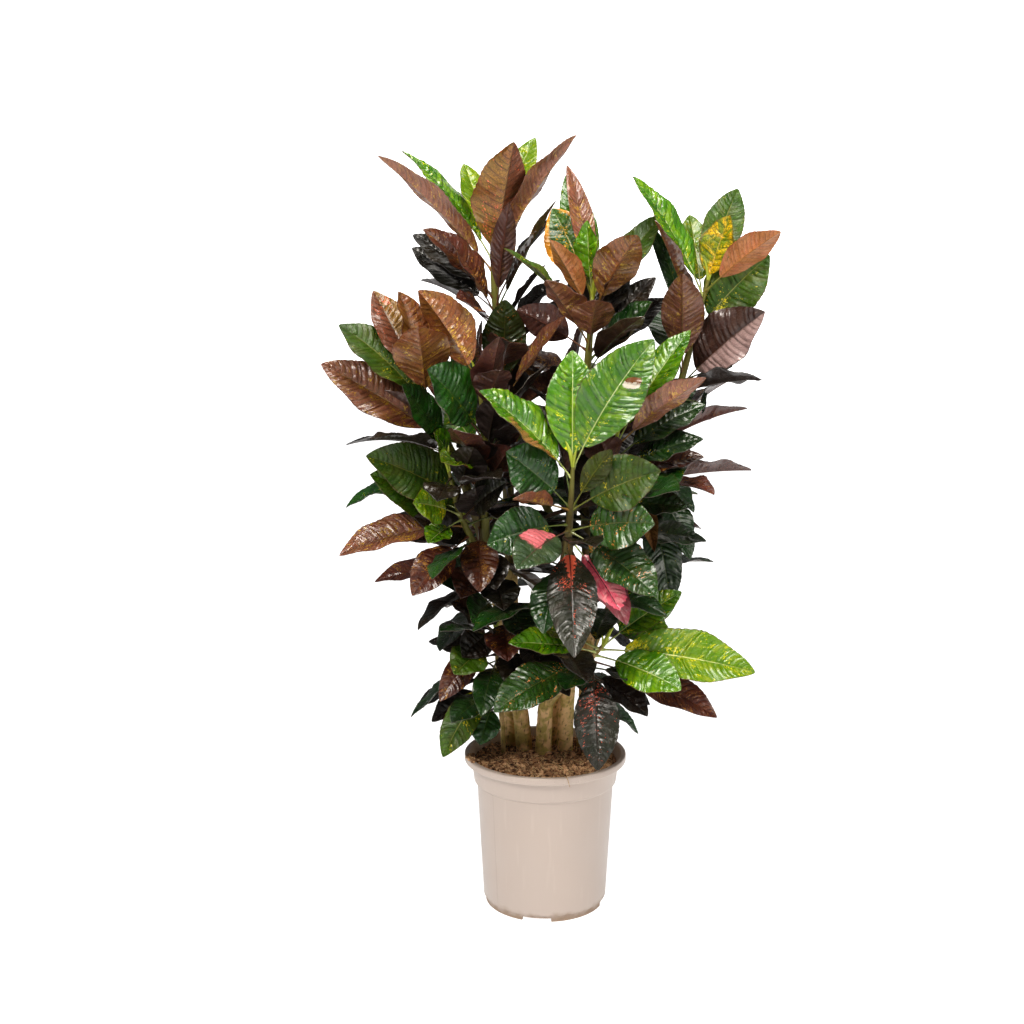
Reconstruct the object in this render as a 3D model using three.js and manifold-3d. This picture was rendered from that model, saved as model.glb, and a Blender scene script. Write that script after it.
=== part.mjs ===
// Potted croton: a bushy plant of seven rooted canes in a round nursery pot.
// Units are millimetres, +Z is up, the pot's axis is the Z axis and its foot stands on Z = 0.
// The front of the plant looks towards -Y.

import * as THREE from "three";
import { mergeVertices } from "three/addons/utils/BufferGeometryUtils.js";
import Module from "manifold-3d";

const wasm = await Module();
wasm.setup();

// Driving dimensions of the pot
const POT_HEIGHT = 228;
const LIP_RADIUS = 119;
const LIP_HEIGHT = 11;
const LIP_WIDTH = 5.5;
const LIP_ROUND = 1.6;
const BAND_TOP_RADIUS = 108.4;
const BAND_BOTTOM_RADIUS = 104.8;
const STEP_HEIGHT = 184;
const STEP_SLOPE = 3;
const BODY_TOP_RADIUS = 100.4;
const BODY_BOTTOM_RADIUS = 91;
const FOOT_RADIUS = 88;
const FOOT_WIDTH = 4.5;
const FOOT_HEIGHT = 9;
const FLOOR_UNDERSIDE = 6;
const FLOOR_TOP = 10.2;
const POT_WALL = 2.2;
const POT_SEGMENTS = 28;
const NOTCH_COUNT = 4;
const NOTCH_WIDTH = 43;
const NOTCH_HEIGHT = 5.5;
const NOTCH_TURN = -99;
const DRAIN_COUNT = 6;
const DRAIN_RADIUS = 6;
const DRAIN_CIRCLE = 58;
const DRAIN_TURN = 22.5;
const DRAIN_SIDES = 6;

// Driving dimensions of the soil and of what is buried in it
const GAP = 0.3;
const SOIL_EDGE_DROP = 13;
const SOIL_MOUND = 7;
const SOIL_LUMP = 2.4;
const SOIL_CURVE = [[84, 0.5], [58, 0.85], [30, 1], [0, 1]];
const CANE_FOOT = 155;
const CANE_LEAN = 1.2;

// Driving dimensions of stems and leaves
const PETIOLE = 30;
const PETIOLE_HALF = 1.8;
const PETIOLE_TOP = 0.9;
const PETIOLE_KEEL = 1.9;
const MIDRIB_BASE = 3.0;
const MIDRIB_TIP = 1.3;
const BLADE_STATIONS = [0.18, 0.4, 0.62, 0.83];
const SMALL_STATIONS = [0.2, 0.5, 0.8];
const INNER_STATIONS = [0.3, 0.7];
const LARGE_WIDTH = 78;
const WAVE_SHARE = 0.045;
const WAVES = 2.6;
const SIDE_PHASE = 1.9;
const BLADE_FOOT = 0.02;
const STALK_HALF = 1.5;

// How far each half of a blade is lifted from flat, in degrees, by the kind of leaf
const FOLD = {
  lime: 16,
  green: 13,
  deep: 8,
  copper: 20,
  maroon: 17,
  black: 14,
  fleck: 9,
  blush: 9,
  pink: 12,
  gold: 11,
  dry: 38,
};

// How the leaves of a spiral vary: angles in degrees, sizes as shares of the stated ones
const SPIRAL = { turn: 12, rise: 8, reach: 0.86, width: [0.85, 1.12], bend: [14, 44], roll: 26 };
const GOLDEN_ANGLE = 137.508;

// Bending leaves clear of each other: distances in millimetres, turns in degrees
const CLEAR_LAYER = 2.2;
const CLEAR_EDGE = 1.6;
const OWN_LAYER = 0.9;
const OWN_EDGE = 0.3;
const CLEAR_STEM = 1.4;
const STEM_START = CLEAR_LAYER + CLEAR_STEM + 1;
const BLADE_START = 0.7 * PETIOLE;
const TURN_STEP = 4.2;
const TURN_TRIES = 130;
const CROSSING_COST = { stated: 14, spiral: 60 };
const SHORTER = [1, 0.8];
const LIP_KEEP_OUT = { radius: 131, height: 237 };
const SPREAD = [318, 232];

const radians = THREE.MathUtils.degToRad;

// Each rooted cane with its branches. A stem's points run from its foot to its growing tip.
// A leaf row is [height of its joint, tip x, tip y, tip z, blade width, bend, roll, kind].
// A spiral is the rule for the other leaves of that stem, from its lowest to its highest joint.
const CANES = [
  {
    name: "cane_front",
    colour: 0x4d8a2b,
    stems: [
      {
        points: [
          [-2, 10, CANE_FOOT], [-2, 10, 240], [4, -2, 340], [14, -30, 430], [24, -62, 510],
          [30, -95, 590], [33, -118, 668],
        ],
        radii: [12.5, 12, 10, 8, 6.5, 5, 2.6],
        leaves: [
          [650, -93, -130, 771, 78, 22, -35, "lime"],
          [650, 33, -80, 822, 75, 15, 0, "green"],
          [663, 150, -80, 828, 88, 18, 69, "green"],
          [608, -49, -150, 693, 84, 15, -75, "deep"],
          [603, 83, -150, 695, 36, 12, -60, "copper"],
          [604, 148, -150, 667, 80, 18, 75, "green"],
          [574, 139, -170, 599, 76, 20, 75, "fleck"],
          [584, -82, -175, 572, 72, 20, -73, "deep"],
          [605, -48, -165, 632, 42, 12, 30, "maroon"],
          [575, -44, -215, 548, 62, 20, -30, "blush"],
          [565, 32, -226, 432, 68, 35, 0, "fleck"],
          [565, 110, -180, 475, 57, 20, 10, "pink"],
          [575, 144, -165, 500, 77, 20, 30, "deep"],
          [545, -7, -150, 445, 59, 25, 0, "deep"],
          [620, 11, -70, 712, 58, 14, 75, "deep"],
        ],
        spiral: {
          count: 9, from: 330, to: 590, start: 20, rise: [-30, 10], length: [130, 155], width: 60,
          kinds: ["deep", "black"],
        },
      },
      {
        points: [
          [2, 2, 296], [26, -28, 335], [54, -62, 375], [78, -88, 412],
        ],
        radii: [6, 5, 4, 2.4],
        leaves: [
          [405, 288, -110, 379, 82, 15, 50, "lime"],
          [408, 190, -60, 482, 57, 12, 40, "green"],
          [395, 181, -150, 366, 68, 20, 40, "deep"],
          [385, 238, -100, 311, 62, 22, 40, "black"],
          [390, 69, -150, 251, 64, 30, 0, "fleck"],
          [400, -54, -120, 424, 54, 15, -30, "green"],
          [385, -74, -150, 335, 68, 20, -35, "blush"],
          [380, 24, -150, 366, 47, 15, 0, "deep"],
          [405, -10, -90, 438, 50, 15, -20, "gold"],
          [370, 141, -100, 313, 54, 20, 20, "black"],
          [360, 149, -50, 314, 50, 20, 20, "black"],
        ],
        spiral: {
          count: 4, from: 330, to: 400, start: 60, rise: [-20, 20], length: [100, 125], width: 50,
          kinds: ["black", "deep"],
        },
      },
    ],
  },
  {
    name: "cane_right",
    colour: 0x5a3a30,
    stems: [
      {
        points: [
          [30, 22, CANE_FOOT], [30, 22, 240], [35, 19, 340], [46, 14, 440], [92, 28, 540],
          [146, 42, 630], [178, 42, 710], [204, 32, 810], [228, 20, 915],
        ],
        radii: [12.5, 12, 11, 10, 8, 7, 6, 4.6, 2.6],
        leaves: [
          [890, 119, 15, 1057, 59, 20, -40, "green"],
          [850, 159, -15, 1004, 64, 10, -30, "maroon"],
          [890, 244, 10, 1007, 60, 10, 75, "gold"],
          [904, 279, 100, 1045, 58, 20, 31, "deep"],
          [898, 320, -40, 995, 50, 14, -45, "copper"],
          [837, 299, 0, 958, 88, 14, 75, "green"],
          [763, 301, -30, 872, 90, 12, 75, "maroon"],
          [812, 142, 70, 1001, 26, 30, -66, "green"],
          [885, 210, 100, 1008, 54, 10, 0, "green"],
          [777, 192, 0, 940, 64, 14, -1, "maroon"],
          [770, 254, -10, 802, 57, 20, 30, "deep"],
          [745, 232, 40, 736, 57, 25, 30, "deep"],
        ],
        spiral: {
          count: 9, from: 560, to: 790, start: 70, rise: [-10, 35], length: [130, 160], width: 62,
          kinds: ["deep", "maroon", "black"],
        },
      },
      {
        points: [
          [46, 14, 440], [72, -18, 530], [90, -50, 620], [95, -68, 702],
        ],
        radii: [7, 6, 5, 2.6],
        leaves: [
          [690, 200, -20, 846, 66, 15, 25, "green"],
          [688, 212, -100, 786, 52, 15, -45, "copper"],
          [670, 222, -30, 743, 57, 25, 30, "deep"],
          [650, 214, -70, 700, 59, 25, 30, "deep"],
          [640, 218, -50, 672, 53, 20, 30, "maroon"],
          [600, 196, -60, 602, 53, 25, 30, "deep"],
          [640, 70, -110, 703, 56, 14, 28, "maroon"],
        ],
        spiral: {
          count: 7, from: 480, to: 680, start: 100, rise: [-15, 40], length: [125, 150], width: 60,
          kinds: ["black", "deep"],
        },
      },
      {
        points: [
          [92, 28, 540], [128, 52, 590], [142, 66, 640], [150, 72, 700],
        ],
        radii: [6, 5, 4.4, 2.6],
        leaves: [
          [690, 225, 110, 770, 57, 20, 30, "deep"],
          [665, 231, 60, 639, 53, 30, 20, "maroon"],
          [640, 211, 20, 512, 57, 30, 20, "deep"],
          [620, 203, -20, 461, 57, 35, 20, "deep"],
          [650, 206, 60, 564, 54, 30, 20, "deep"],
          [600, 151, -60, 539, 35, 60, 20, "dry"],
        ],
        spiral: {
          count: 7, from: 560, to: 690, start: 30, rise: [-15, 50], length: [125, 155], width: 60,
          kinds: ["deep", "black", "maroon"],
        },
      },
    ],
  },
  {
    name: "cane_left",
    colour: 0x7a4a2c,
    stems: [
      {
        points: [
          [-32, 25, CANE_FOOT], [-32, 25, 240], [-46, 16, 340], [-66, 4, 440], [-88, -10, 540],
          [-112, -22, 620], [-140, -34, 690], [-170, -46, 745], [-188, -56, 790],
        ],
        radii: [12.5, 12, 11, 9.5, 8, 7, 6, 4.6, 2.6],
        leaves: [
          [755, -206, -30, 900, 84, 20, 0, "copper"],
          [738, -172, -140, 855, 84, 24, 9, "copper"],
          [740, -289, -30, 854, 73, 25, -40, "green"],
          [690, -315, -30, 800, 81, 12, -55, "maroon"],
          [665, -196, -115, 778, 62, 12, -75, "deep"],
          [700, -207, -90, 785, 47, 15, 0, "maroon"],
          [668, -287, 10, 682, 45, 45, 0, "black"],
          [500, -60, -120, 470, 60, 20, 0, "black"],
          [470, -20, -100, 425, 58, 25, 0, "deep"],
          [458, -104, -110, 450, 58, 24, -47, "deep"],
          [520, -120, -90, 480, 56, 25, -20, "maroon"],
          [400, -40, -85, 345, 56, 25, 0, "black"],
          [370, -100, -70, 320, 54, 25, -20, "deep"],
          [765, -248, 30, 890, 59, 15, -20, "green"],
          [649, -159, -70, 715, 46, 12, -75, "deep"],
          [569, -93, -110, 493, 56, 40, 1, "maroon"],
          [540, -71, -100, 494, 50, 40, 16, "black"],
          [503, -145, -80, 494, 50, 24, -69, "deep"],
          [438, -55, -95, 400, 62, 35, 10, "maroon"],
          [416, -108, -80, 393, 50, 24, -48, "black"],
          [536, -156, -110, 612, 52, 14, -75, "black"],
          [562, -116, -95, 660, 62, 14, 25, "black"],
          [591, -244, -130, 684, 84, 18, -75, "green"],
          [562, -241, -110, 646, 78, 18, -75, "green"],
        ],
        spiral: {
          count: 9, from: 350, to: 690, start: 200, rise: [-25, 30], length: [125, 155], width: 60,
          kinds: ["black", "deep"],
        },
      },
      {
        points: [
          [-80, -4, 505], [-104, -36, 550], [-124, -60, 600], [-136, -70, 655],
        ],
        radii: [6, 5, 4, 2.4],
        leaves: [
          [630, -283, -40, 599, 53, 50, -20, "black"],
          [591, -181, -140, 622, 56, 15, -75, "gold"],
          [575, -283, -100, 532, 64, 25, -30, "copper"],
          [560, -191, -120, 501, 57, 20, -40, "maroon"],
          [585, -163, -120, 564, 42, 15, -20, "green"],
          [645, -154, -150, 618, 54, 12, -10, "black"],
          [585, -56, -130, 649, 60, 14, 75, "black"],
          [608, -95, -120, 691, 56, 14, -37, "black"],
        ],
        spiral: {
          count: 4, from: 535, to: 640, start: 250, rise: [-20, 30], length: [110, 135], width: 52,
          kinds: ["black", "deep"],
        },
      },
      {
        points: [
          [-88, -10, 540], [-86, -34, 610], [-86, -56, 690], [-94, -62, 772],
        ],
        radii: [6.5, 5.5, 4.5, 2.6],
        leaves: [
          [770, -188, -30, 892, 76, 18, 75, "copper"],
          [768, -92, 20, 858, 40, 12, -75, "maroon"],
          [640, -106, -110, 703, 59, 20, 0, "black"],
          [655, -150, -105, 665, 59, 15, -20, "gold"],
          [600, -60, -130, 600, 60, 20, 0, "black"],
          [625, -20, -110, 640, 58, 20, 0, "deep"],
          [680, -30, -110, 722, 58, 15, 0, "black"],
          [730, -65, -120, 798, 59, 15, 0, "maroon"],
          [666, -141, -10, 737, 58, 12, -75, "green"],
          [624, -69, -90, 706, 58, 20, -33, "maroon"],
          [699, -154, -125, 810, 92, 15, -75, "green"],
          [668, -69, -110, 760, 50, 14, -19, "black"],
        ],
        spiral: {
          count: 7, from: 570, to: 760, start: 330, rise: [-10, 55], length: [120, 145], width: 58,
          kinds: ["black", "maroon", "deep"],
        },
      },
    ],
  },
  {
    name: "cane_tall",
    colour: 0x8a4f2e,
    stems: [
      {
        points: [
          [-52, 52, CANE_FOOT], [-52, 52, 240], [-50, 56, 360], [-50, 56, 480], [-54, 52, 600],
          [-60, 46, 716], [-66, 42, 820], [-74, 40, 900], [-77, 38, 985],
        ],
        radii: [12, 11.5, 10.5, 9.5, 8.5, 7.5, 6, 5, 2.6],
        leaves: [
          [925, -56, 5, 1107, 88, 10, 0, "copper"],
          [935, 41, 35, 1115, 59, 14, -25, "copper"],
          [955, 6, 100, 1111, 59, 20, 20, "lime"],
          [950, -119, 105, 1081, 59, 15, 0, "lime"],
          [940, -207, 85, 1097, 50, 25, -10, "green"],
          [925, -235, 10, 1085, 53, 15, 25, "copper"],
          [890, -192, 70, 979, 64, 15, -35, "black"],
          [870, -195, 95, 961, 61, 10, -35, "black"],
          [885, -163, 0, 995, 61, 15, -50, "maroon"],
          [860, -152, -30, 963, 64, 15, -60, "maroon"],
          [870, -53, -40, 1020, 36, 14, -14, "black"],
          [880, 36, 70, 1017, 47, 35, 0, "black"],
          [870, -7, 0, 1038, 50, 10, 20, "deep"],
          [845, -126, -40, 891, 53, 20, -40, "maroon"],
          [840, -2, 20, 936, 42, 15, 10, "black"],
          [830, 20, 60, 915, 47, 15, 20, "black"],
          [638, -79, -20, 715, 50, 14, 40, "deep"],
          [740, 26, -20, 866, 40, 12, 55, "maroon"],
          [588, -66, -60, 681, 58, 14, 12, "black"],
          [742, -65, -45, 880, 64, 14, 4, "deep"],
          [640, -52, -30, 771, 56, 14, -4, "maroon"],
        ],
        spiral: {
          count: 12, from: 480, to: 850, start: 80, rise: [-10, 40], length: [125, 155], width: 58,
          kinds: ["black", "maroon", "deep"],
        },
      },
      {
        points: [
          [-50, 56, 400], [-80, 70, 450], [-106, 80, 500], [-122, 86, 556],
        ],
        radii: [6.5, 5.5, 4.5, 2.6],
        leaves: [],
        spiral: {
          count: 10, from: 425, to: 550, start: 120, rise: [-30, 60], length: [125, 155], width: 62,
          kinds: ["deep", "maroon", "black"],
        },
      },
    ],
  },
  {
    name: "cane_middle",
    colour: 0x3f2a24,
    stems: [
      {
        points: [
          [12, 54, CANE_FOOT], [12, 54, 240], [18, 54, 360], [28, 46, 480], [40, 32, 600],
          [50, 16, 700], [58, 2, 800], [64, -6, 890],
        ],
        radii: [12, 11.5, 10.5, 9, 8, 7, 5.5, 2.6],
        leaves: [
          [890, 28, 40, 1075, 34, 20, -30, "copper"],
          [887, 2, 50, 1007, 72, 12, -56, "gold"],
          [865, 3, -45, 969, 42, 10, 20, "copper"],
          [885, 69, 0, 997, 47, 8, 0, "green"],
          [865, 111, -50, 988, 68, 12, -35, "copper"],
          [868, 166, 40, 1007, 57, 15, 30, "green"],
          [850, -48, 0, 977, 53, 15, -20, "green"],
          [875, -13, 70, 1053, 53, 15, -20, "green"],
          [825, 8, -70, 918, 68, 10, 0, "maroon"],
          [815, 64, -80, 889, 64, 10, 0, "maroon"],
          [740, 15, -80, 800, 60, 15, 0, "black"],
          [720, 95, -85, 790, 60, 15, 20, "black"],
          [700, 50, -115, 745, 62, 20, 0, "maroon"],
          [690, -25, -60, 770, 56, 15, -20, "black"],
          [760, 125, -50, 822, 58, 15, 20, "deep"],
          [855, 106, -15, 940, 50, 15, 20, "maroon"],
          [810, 153, 10, 919, 50, 10, 50, "black"],
          [835, 127, 30, 911, 47, 15, 20, "black"],
          [800, 150, -30, 881, 57, 12, 45, "deep"],
          [800, 175, 80, 889, 53, 12, 30, "black"],
          [815, -42, 0, 876, 56, 15, 75, "maroon"],
        ],
        spiral: {
          count: 12, from: 440, to: 830, start: 10, rise: [-15, 50], length: [125, 155], width: 62,
          kinds: ["black", "deep", "maroon"],
        },
      },
    ],
  },
  {
    name: "cane_back",
    colour: 0x35552c,
    stems: [
      {
        points: [
          [60, 44, CANE_FOOT], [60, 44, 240], [64, 58, 350], [66, 78, 450], [62, 94, 550],
          [54, 104, 640], [48, 110, 715],
        ],
        radii: [12, 11.5, 10.5, 9, 7.5, 5.5, 2.6],
        leaves: [],
        spiral: {
          count: 11, from: 540, to: 708, start: 90, rise: [-20, 68], length: [130, 165], width: 66,
          kinds: ["green", "deep", "copper", "maroon"],
        },
      },
      {
        points: [
          [66, 78, 450], [22, 94, 540], [-18, 104, 620], [-44, 110, 700],
        ],
        radii: [7, 6, 5, 2.6],
        leaves: [],
        spiral: {
          count: 11, from: 540, to: 692, start: 150, rise: [-20, 68], length: [130, 165], width: 66,
          kinds: ["copper", "deep", "green", "black"],
        },
      },
      {
        points: [
          [64, 58, 350], [94, 74, 420], [118, 86, 480], [132, 92, 536],
        ],
        radii: [6.5, 5.5, 4.5, 2.6],
        leaves: [],
        spiral: {
          count: 10, from: 390, to: 530, start: 20, rise: [-35, 60], length: [125, 150], width: 62,
          kinds: ["deep", "green", "black"],
        },
      },
    ],
  },
  {
    name: "cane_thin",
    colour: 0x3c3a2a,
    stems: [
      {
        points: [
          [-62, 6, 175], [-62, 6, 240], [-66, -4, 300], [-70, -14, 360], [-72, -22, 418],
        ],
        radii: [3.6, 3.6, 3.4, 3.2, 2.2],
        leaves: [
          [350, -148, -60, 239, 52, 25, -40, "deep"],
          [345, -192, 0, 292, 42, 30, -20, "black"],
          [405, -151, -80, 328, 42, 35, -60, "pink"],
          [396, -132, -90, 380, 59, 25, -30, "green"],
          [410, -100, -90, 446, 59, 20, -30, "black"],
          [330, -166, -20, 279, 47, 25, -30, "black"],
          [380, -130, -60, 369, 42, 20, -20, "black"],
          [325, -95, -50, 254, 47, 20, -20, "deep"],
          [412, -142, -40, 466, 52, 20, -30, "maroon"],
        ],
        spiral: {
          count: 7, from: 300, to: 410, start: 100, rise: [-25, 30], length: [95, 120], width: 46,
          kinds: ["black", "deep"],
        },
      },
    ],
  },
];

// A small seeded generator, so that every build draws the same leaves
let seed = 20417;
function draw() {
  seed = (seed * 48271) % 2147483647;
  return seed / 2147483647;
}

function between(low, high) {
  return low + (high - low) * draw();
}

function add(point, direction, distance) {
  return point.map((value, k) => value + direction[k] * distance);
}

function minus(a, b) {
  return [a[0] - b[0], a[1] - b[1], a[2] - b[2]];
}

function cross(a, b) {
  return [a[1] * b[2] - a[2] * b[1], a[2] * b[0] - a[0] * b[2], a[0] * b[1] - a[1] * b[0]];
}

function dot(a, b) {
  return a[0] * b[0] + a[1] * b[1] + a[2] * b[2];
}

// Turns a closed BufferGeometry into a solid that can be joined and cut
function toSolid(geometry) {
  const bare = geometry.clone();
  bare.deleteAttribute("normal");
  bare.deleteAttribute("uv");
  const merged = mergeVertices(bare, 1e-4);
  const places = merged.getAttribute("position").array;
  const corner = (i) => [places[3 * i], places[3 * i + 1], places[3 * i + 2]];
  const triangles = [];
  let volume = 0;
  for (let i = 0; i < merged.index.count; i += 3) {
    const [a, b, c] = [merged.index.getX(i), merged.index.getX(i + 1), merged.index.getX(i + 2)];
    if (a !== b && b !== c && c !== a) {
      triangles.push(a, b, c);
      volume += dot(corner(a), cross(corner(b), corner(c)));
    }
  }
  if (volume < 0) {
    for (let i = 0; i < triangles.length; i += 3) {
      [triangles[i + 1], triangles[i + 2]] = [triangles[i + 2], triangles[i + 1]];
    }
  }
  return new wasm.Manifold(new wasm.Mesh({
    numProp: 3,
    vertProperties: new Float32Array(places),
    triVerts: new Uint32Array(triangles),
  }));
}

// Joins a list of solids two by two
function joinAll(solids) {
  let current = solids;
  while (current.length > 1) {
    const next = [];
    for (let i = 0; i < current.length; i += 2) {
      next.push(i + 1 < current.length ? current[i].add(current[i + 1]) : current[i]);
    }
    current = next;
  }
  return current[0];
}

function toMesh(name, solid, look) {
  const result = solid.getMesh();
  const geometry = new THREE.BufferGeometry();
  geometry.setAttribute("position", new THREE.BufferAttribute(result.vertProperties, 3));
  geometry.setIndex(new THREE.BufferAttribute(result.triVerts, 1));
  geometry.computeVertexNormals();
  const mesh = new THREE.Mesh(geometry, new THREE.MeshStandardMaterial(look));
  mesh.name = name;
  return mesh;
}

// Skins closed rings of points into a solid. With a tip, the last ring runs to that point.
function skin(rings, tip) {
  const places = [];
  const triangles = [];
  const sides = rings[0].length;
  for (const ring of rings) {
    for (const point of ring) {
      places.push(...point);
    }
  }
  for (let k = 2; k < sides; k += 1) {
    triangles.push(0, k, k - 1);
  }
  for (let i = 0; i + 1 < rings.length; i += 1) {
    for (let k = 0; k < sides; k += 1) {
      const a = i * sides + k;
      const b = i * sides + (k + 1) % sides;
      // Neighbouring quads are split in mirrored ways, so that both faces of a blade are split alike
      if (k % 2 === 0) {
        triangles.push(a, b, b + sides, a, b + sides, a + sides);
      } else {
        triangles.push(a, b, a + sides, b, b + sides, a + sides);
      }
    }
  }
  const last = (rings.length - 1) * sides;
  if (tip) {
    places.push(...tip);
    for (let k = 0; k < sides; k += 1) {
      triangles.push(last + k, last + (k + 1) % sides, last + sides);
    }
  } else {
    for (let k = 2; k < sides; k += 1) {
      triangles.push(last, last + k - 1, last + k);
    }
  }
  const geometry = new THREE.BufferGeometry();
  geometry.setAttribute("position", new THREE.Float32BufferAttribute(places, 3));
  geometry.setIndex(triangles);
  return geometry;
}

// The pot

function latheAboutZ(profile, segments) {
  const points = profile.map(([r, z]) => new THREE.Vector2(r, z));
  return new THREE.LatheGeometry(points, segments).rotateX(Math.PI / 2);
}

function potInnerRadius(z) {
  if (z < STEP_HEIGHT) {
    const share = (z - FOOT_HEIGHT) / (STEP_HEIGHT - FOOT_HEIGHT);
    return BODY_BOTTOM_RADIUS + (BODY_TOP_RADIUS - BODY_BOTTOM_RADIUS) * share - POT_WALL;
  }
  const foot = STEP_HEIGHT + STEP_SLOPE;
  const share = (z - foot) / (POT_HEIGHT - LIP_HEIGHT - foot);
  return BAND_BOTTOM_RADIUS + (BAND_TOP_RADIUS - BAND_BOTTOM_RADIUS) * share - POT_WALL;
}

function makePot() {
  const lipFoot = POT_HEIGHT - LIP_HEIGHT;
  const bandFoot = STEP_HEIGHT + STEP_SLOPE;
  const footInside = FOOT_RADIUS - FOOT_WIDTH;
  const lipInside = LIP_RADIUS - LIP_WIDTH;
  const profile = [
    [0, FLOOR_UNDERSIDE],
    [footInside, FLOOR_UNDERSIDE],
    [footInside + 0.6, 0],
    [FOOT_RADIUS, 0],
    [FOOT_RADIUS + 0.4, FOOT_HEIGHT],
    [BODY_BOTTOM_RADIUS, FOOT_HEIGHT + 0.8],
    [BODY_TOP_RADIUS, STEP_HEIGHT],
    [BAND_BOTTOM_RADIUS, bandFoot],
    [BAND_TOP_RADIUS, lipFoot - LIP_ROUND],
    [LIP_RADIUS - LIP_ROUND, lipFoot],
    [LIP_RADIUS, lipFoot + LIP_ROUND],
    [LIP_RADIUS, POT_HEIGHT - LIP_ROUND],
    [LIP_RADIUS - LIP_ROUND, POT_HEIGHT],
    [lipInside, POT_HEIGHT],
    [lipInside - LIP_ROUND, POT_HEIGHT - LIP_ROUND],
    [potInnerRadius(lipFoot), lipFoot - LIP_ROUND],
    [potInnerRadius(bandFoot), bandFoot],
    [potInnerRadius(STEP_HEIGHT - 1), STEP_HEIGHT - 1],
    [potInnerRadius(FLOOR_TOP), FLOOR_TOP],
    [0, FLOOR_TOP],
  ];
  let solid = toSolid(latheAboutZ(profile, POT_SEGMENTS));
  for (let i = 0; i < NOTCH_COUNT; i += 1) {
    const turn = radians(NOTCH_TURN + (i * 360) / NOTCH_COUNT);
    const notch = new THREE.BoxGeometry(4 * FOOT_WIDTH, NOTCH_WIDTH, 2 * NOTCH_HEIGHT);
    notch.translate(FOOT_RADIUS - FOOT_WIDTH, 0, 0).rotateZ(turn);
    solid = solid.subtract(toSolid(notch));
  }
  for (let i = 0; i < DRAIN_COUNT; i += 1) {
    const turn = radians(DRAIN_TURN + (i * 360) / DRAIN_COUNT);
    const drain = new THREE.CylinderGeometry(DRAIN_RADIUS, DRAIN_RADIUS, 4 * FOOT_HEIGHT, DRAIN_SIDES);
    drain.rotateX(Math.PI / 2);
    drain.translate(DRAIN_CIRCLE * Math.cos(turn), DRAIN_CIRCLE * Math.sin(turn), FOOT_HEIGHT);
    solid = solid.subtract(toSolid(drain));
  }
  return toMesh("pot", solid, { color: 0xd2c3b6, roughness: 0.42, metalness: 0 });
}

// The soil, mounded and lumpy on top, with a plain hole for each cane

function soilLump(x, y) {
  return Math.sin(0.21 * x + 1.3) * Math.cos(0.17 * y - 0.4) + 0.7 * Math.sin(0.33 * y + 0.12 * x);
}

function makeSoil() {
  const edge = POT_HEIGHT - SOIL_EDGE_DROP;
  const foot = FLOOR_TOP + GAP;
  const bandFoot = STEP_HEIGHT + STEP_SLOPE;
  const fit = (z) => potInnerRadius(z) - GAP - 0.4;
  const profile = [
    [0, foot],
    [fit(foot), foot],
    [fit(STEP_HEIGHT - 1), STEP_HEIGHT - 0.5],
    [fit(bandFoot), bandFoot + 1.5],
    [fit(edge - 5), edge - 5],
    [fit(edge) - 2.5, edge],
    ...SOIL_CURVE.map(([radius, share]) => [radius, edge + share * SOIL_MOUND]),
  ];
  const geometry = latheAboutZ(profile, POT_SEGMENTS);
  const places = geometry.getAttribute("position");
  for (let i = 0; i < places.count; i += 1) {
    const [x, y, z] = [places.getX(i), places.getY(i), places.getZ(i)];
    if (z > edge + 1) {
      places.setZ(i, z + SOIL_LUMP * soilLump(x, y));
    }
  }
  let solid = toSolid(geometry);
  for (const cane of CANES) {
    const stem = cane.stems[0];
    const [x, y, z] = stem.points[0];
    const radius = stem.radii[0] + CANE_LEAN;
    const hole = new THREE.CylinderGeometry(radius, radius, POT_HEIGHT, stemSides(stem));
    hole.rotateX(Math.PI / 2);
    // The first side of a hole turns to +X, as on the stem
    hole.rotateZ(Math.PI / 2);
    hole.translate(x, y, z - GAP + POT_HEIGHT / 2);
    solid = solid.subtract(toSolid(hole));
  }
  return toMesh("soil", solid, { color: 0x4a3324, roughness: 1, metalness: 0 });
}

// Stems

function stemSides(stem) {
  return stem.radii[0] > 8 ? 8 : 6;
}

function stemCurve(stem) {
  const points = stem.points.map((point) => new THREE.Vector3(...point));
  return new THREE.CatmullRomCurve3(points, false, "catmullrom", 0.5);
}

function stemRadius(stem, share) {
  const place = share * (stem.radii.length - 1);
  const index = Math.min(Math.floor(place), stem.radii.length - 2);
  return stem.radii[index] + (stem.radii[index + 1] - stem.radii[index]) * (place - index);
}

function stemRing(stem, curve, share, grow) {
  const centre = curve.getPoint(share).toArray();
  const ahead = curve.getPoint(Math.min(share + 0.01, 1)).toArray();
  const behind = curve.getPoint(Math.max(share - 0.01, 0)).toArray();
  const along = new THREE.Vector3(...minus(ahead, behind)).normalize().toArray();
  const across = new THREE.Vector3(...add([1, 0, 0], along, -along[0])).normalize().toArray();
  const third = cross(along, across);
  const radius = stemRadius(stem, share) + grow;
  const ring = [];
  const sides = stemSides(stem);
  for (let k = 0; k < sides; k += 1) {
    const turn = (2 * Math.PI * k) / sides;
    ring.push(add(add(centre, across, radius * Math.cos(turn)), third, radius * Math.sin(turn)));
  }
  return ring;
}

function stemRings(stem, grow) {
  const curve = stemCurve(stem);
  const spans = stem.points.length - 1;
  const steps = spans + 1;
  const rings = [];
  for (let i = 0; i <= steps; i += 1) {
    rings.push(stemRing(stem, curve, i / steps, grow));
  }
  return rings;
}

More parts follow.
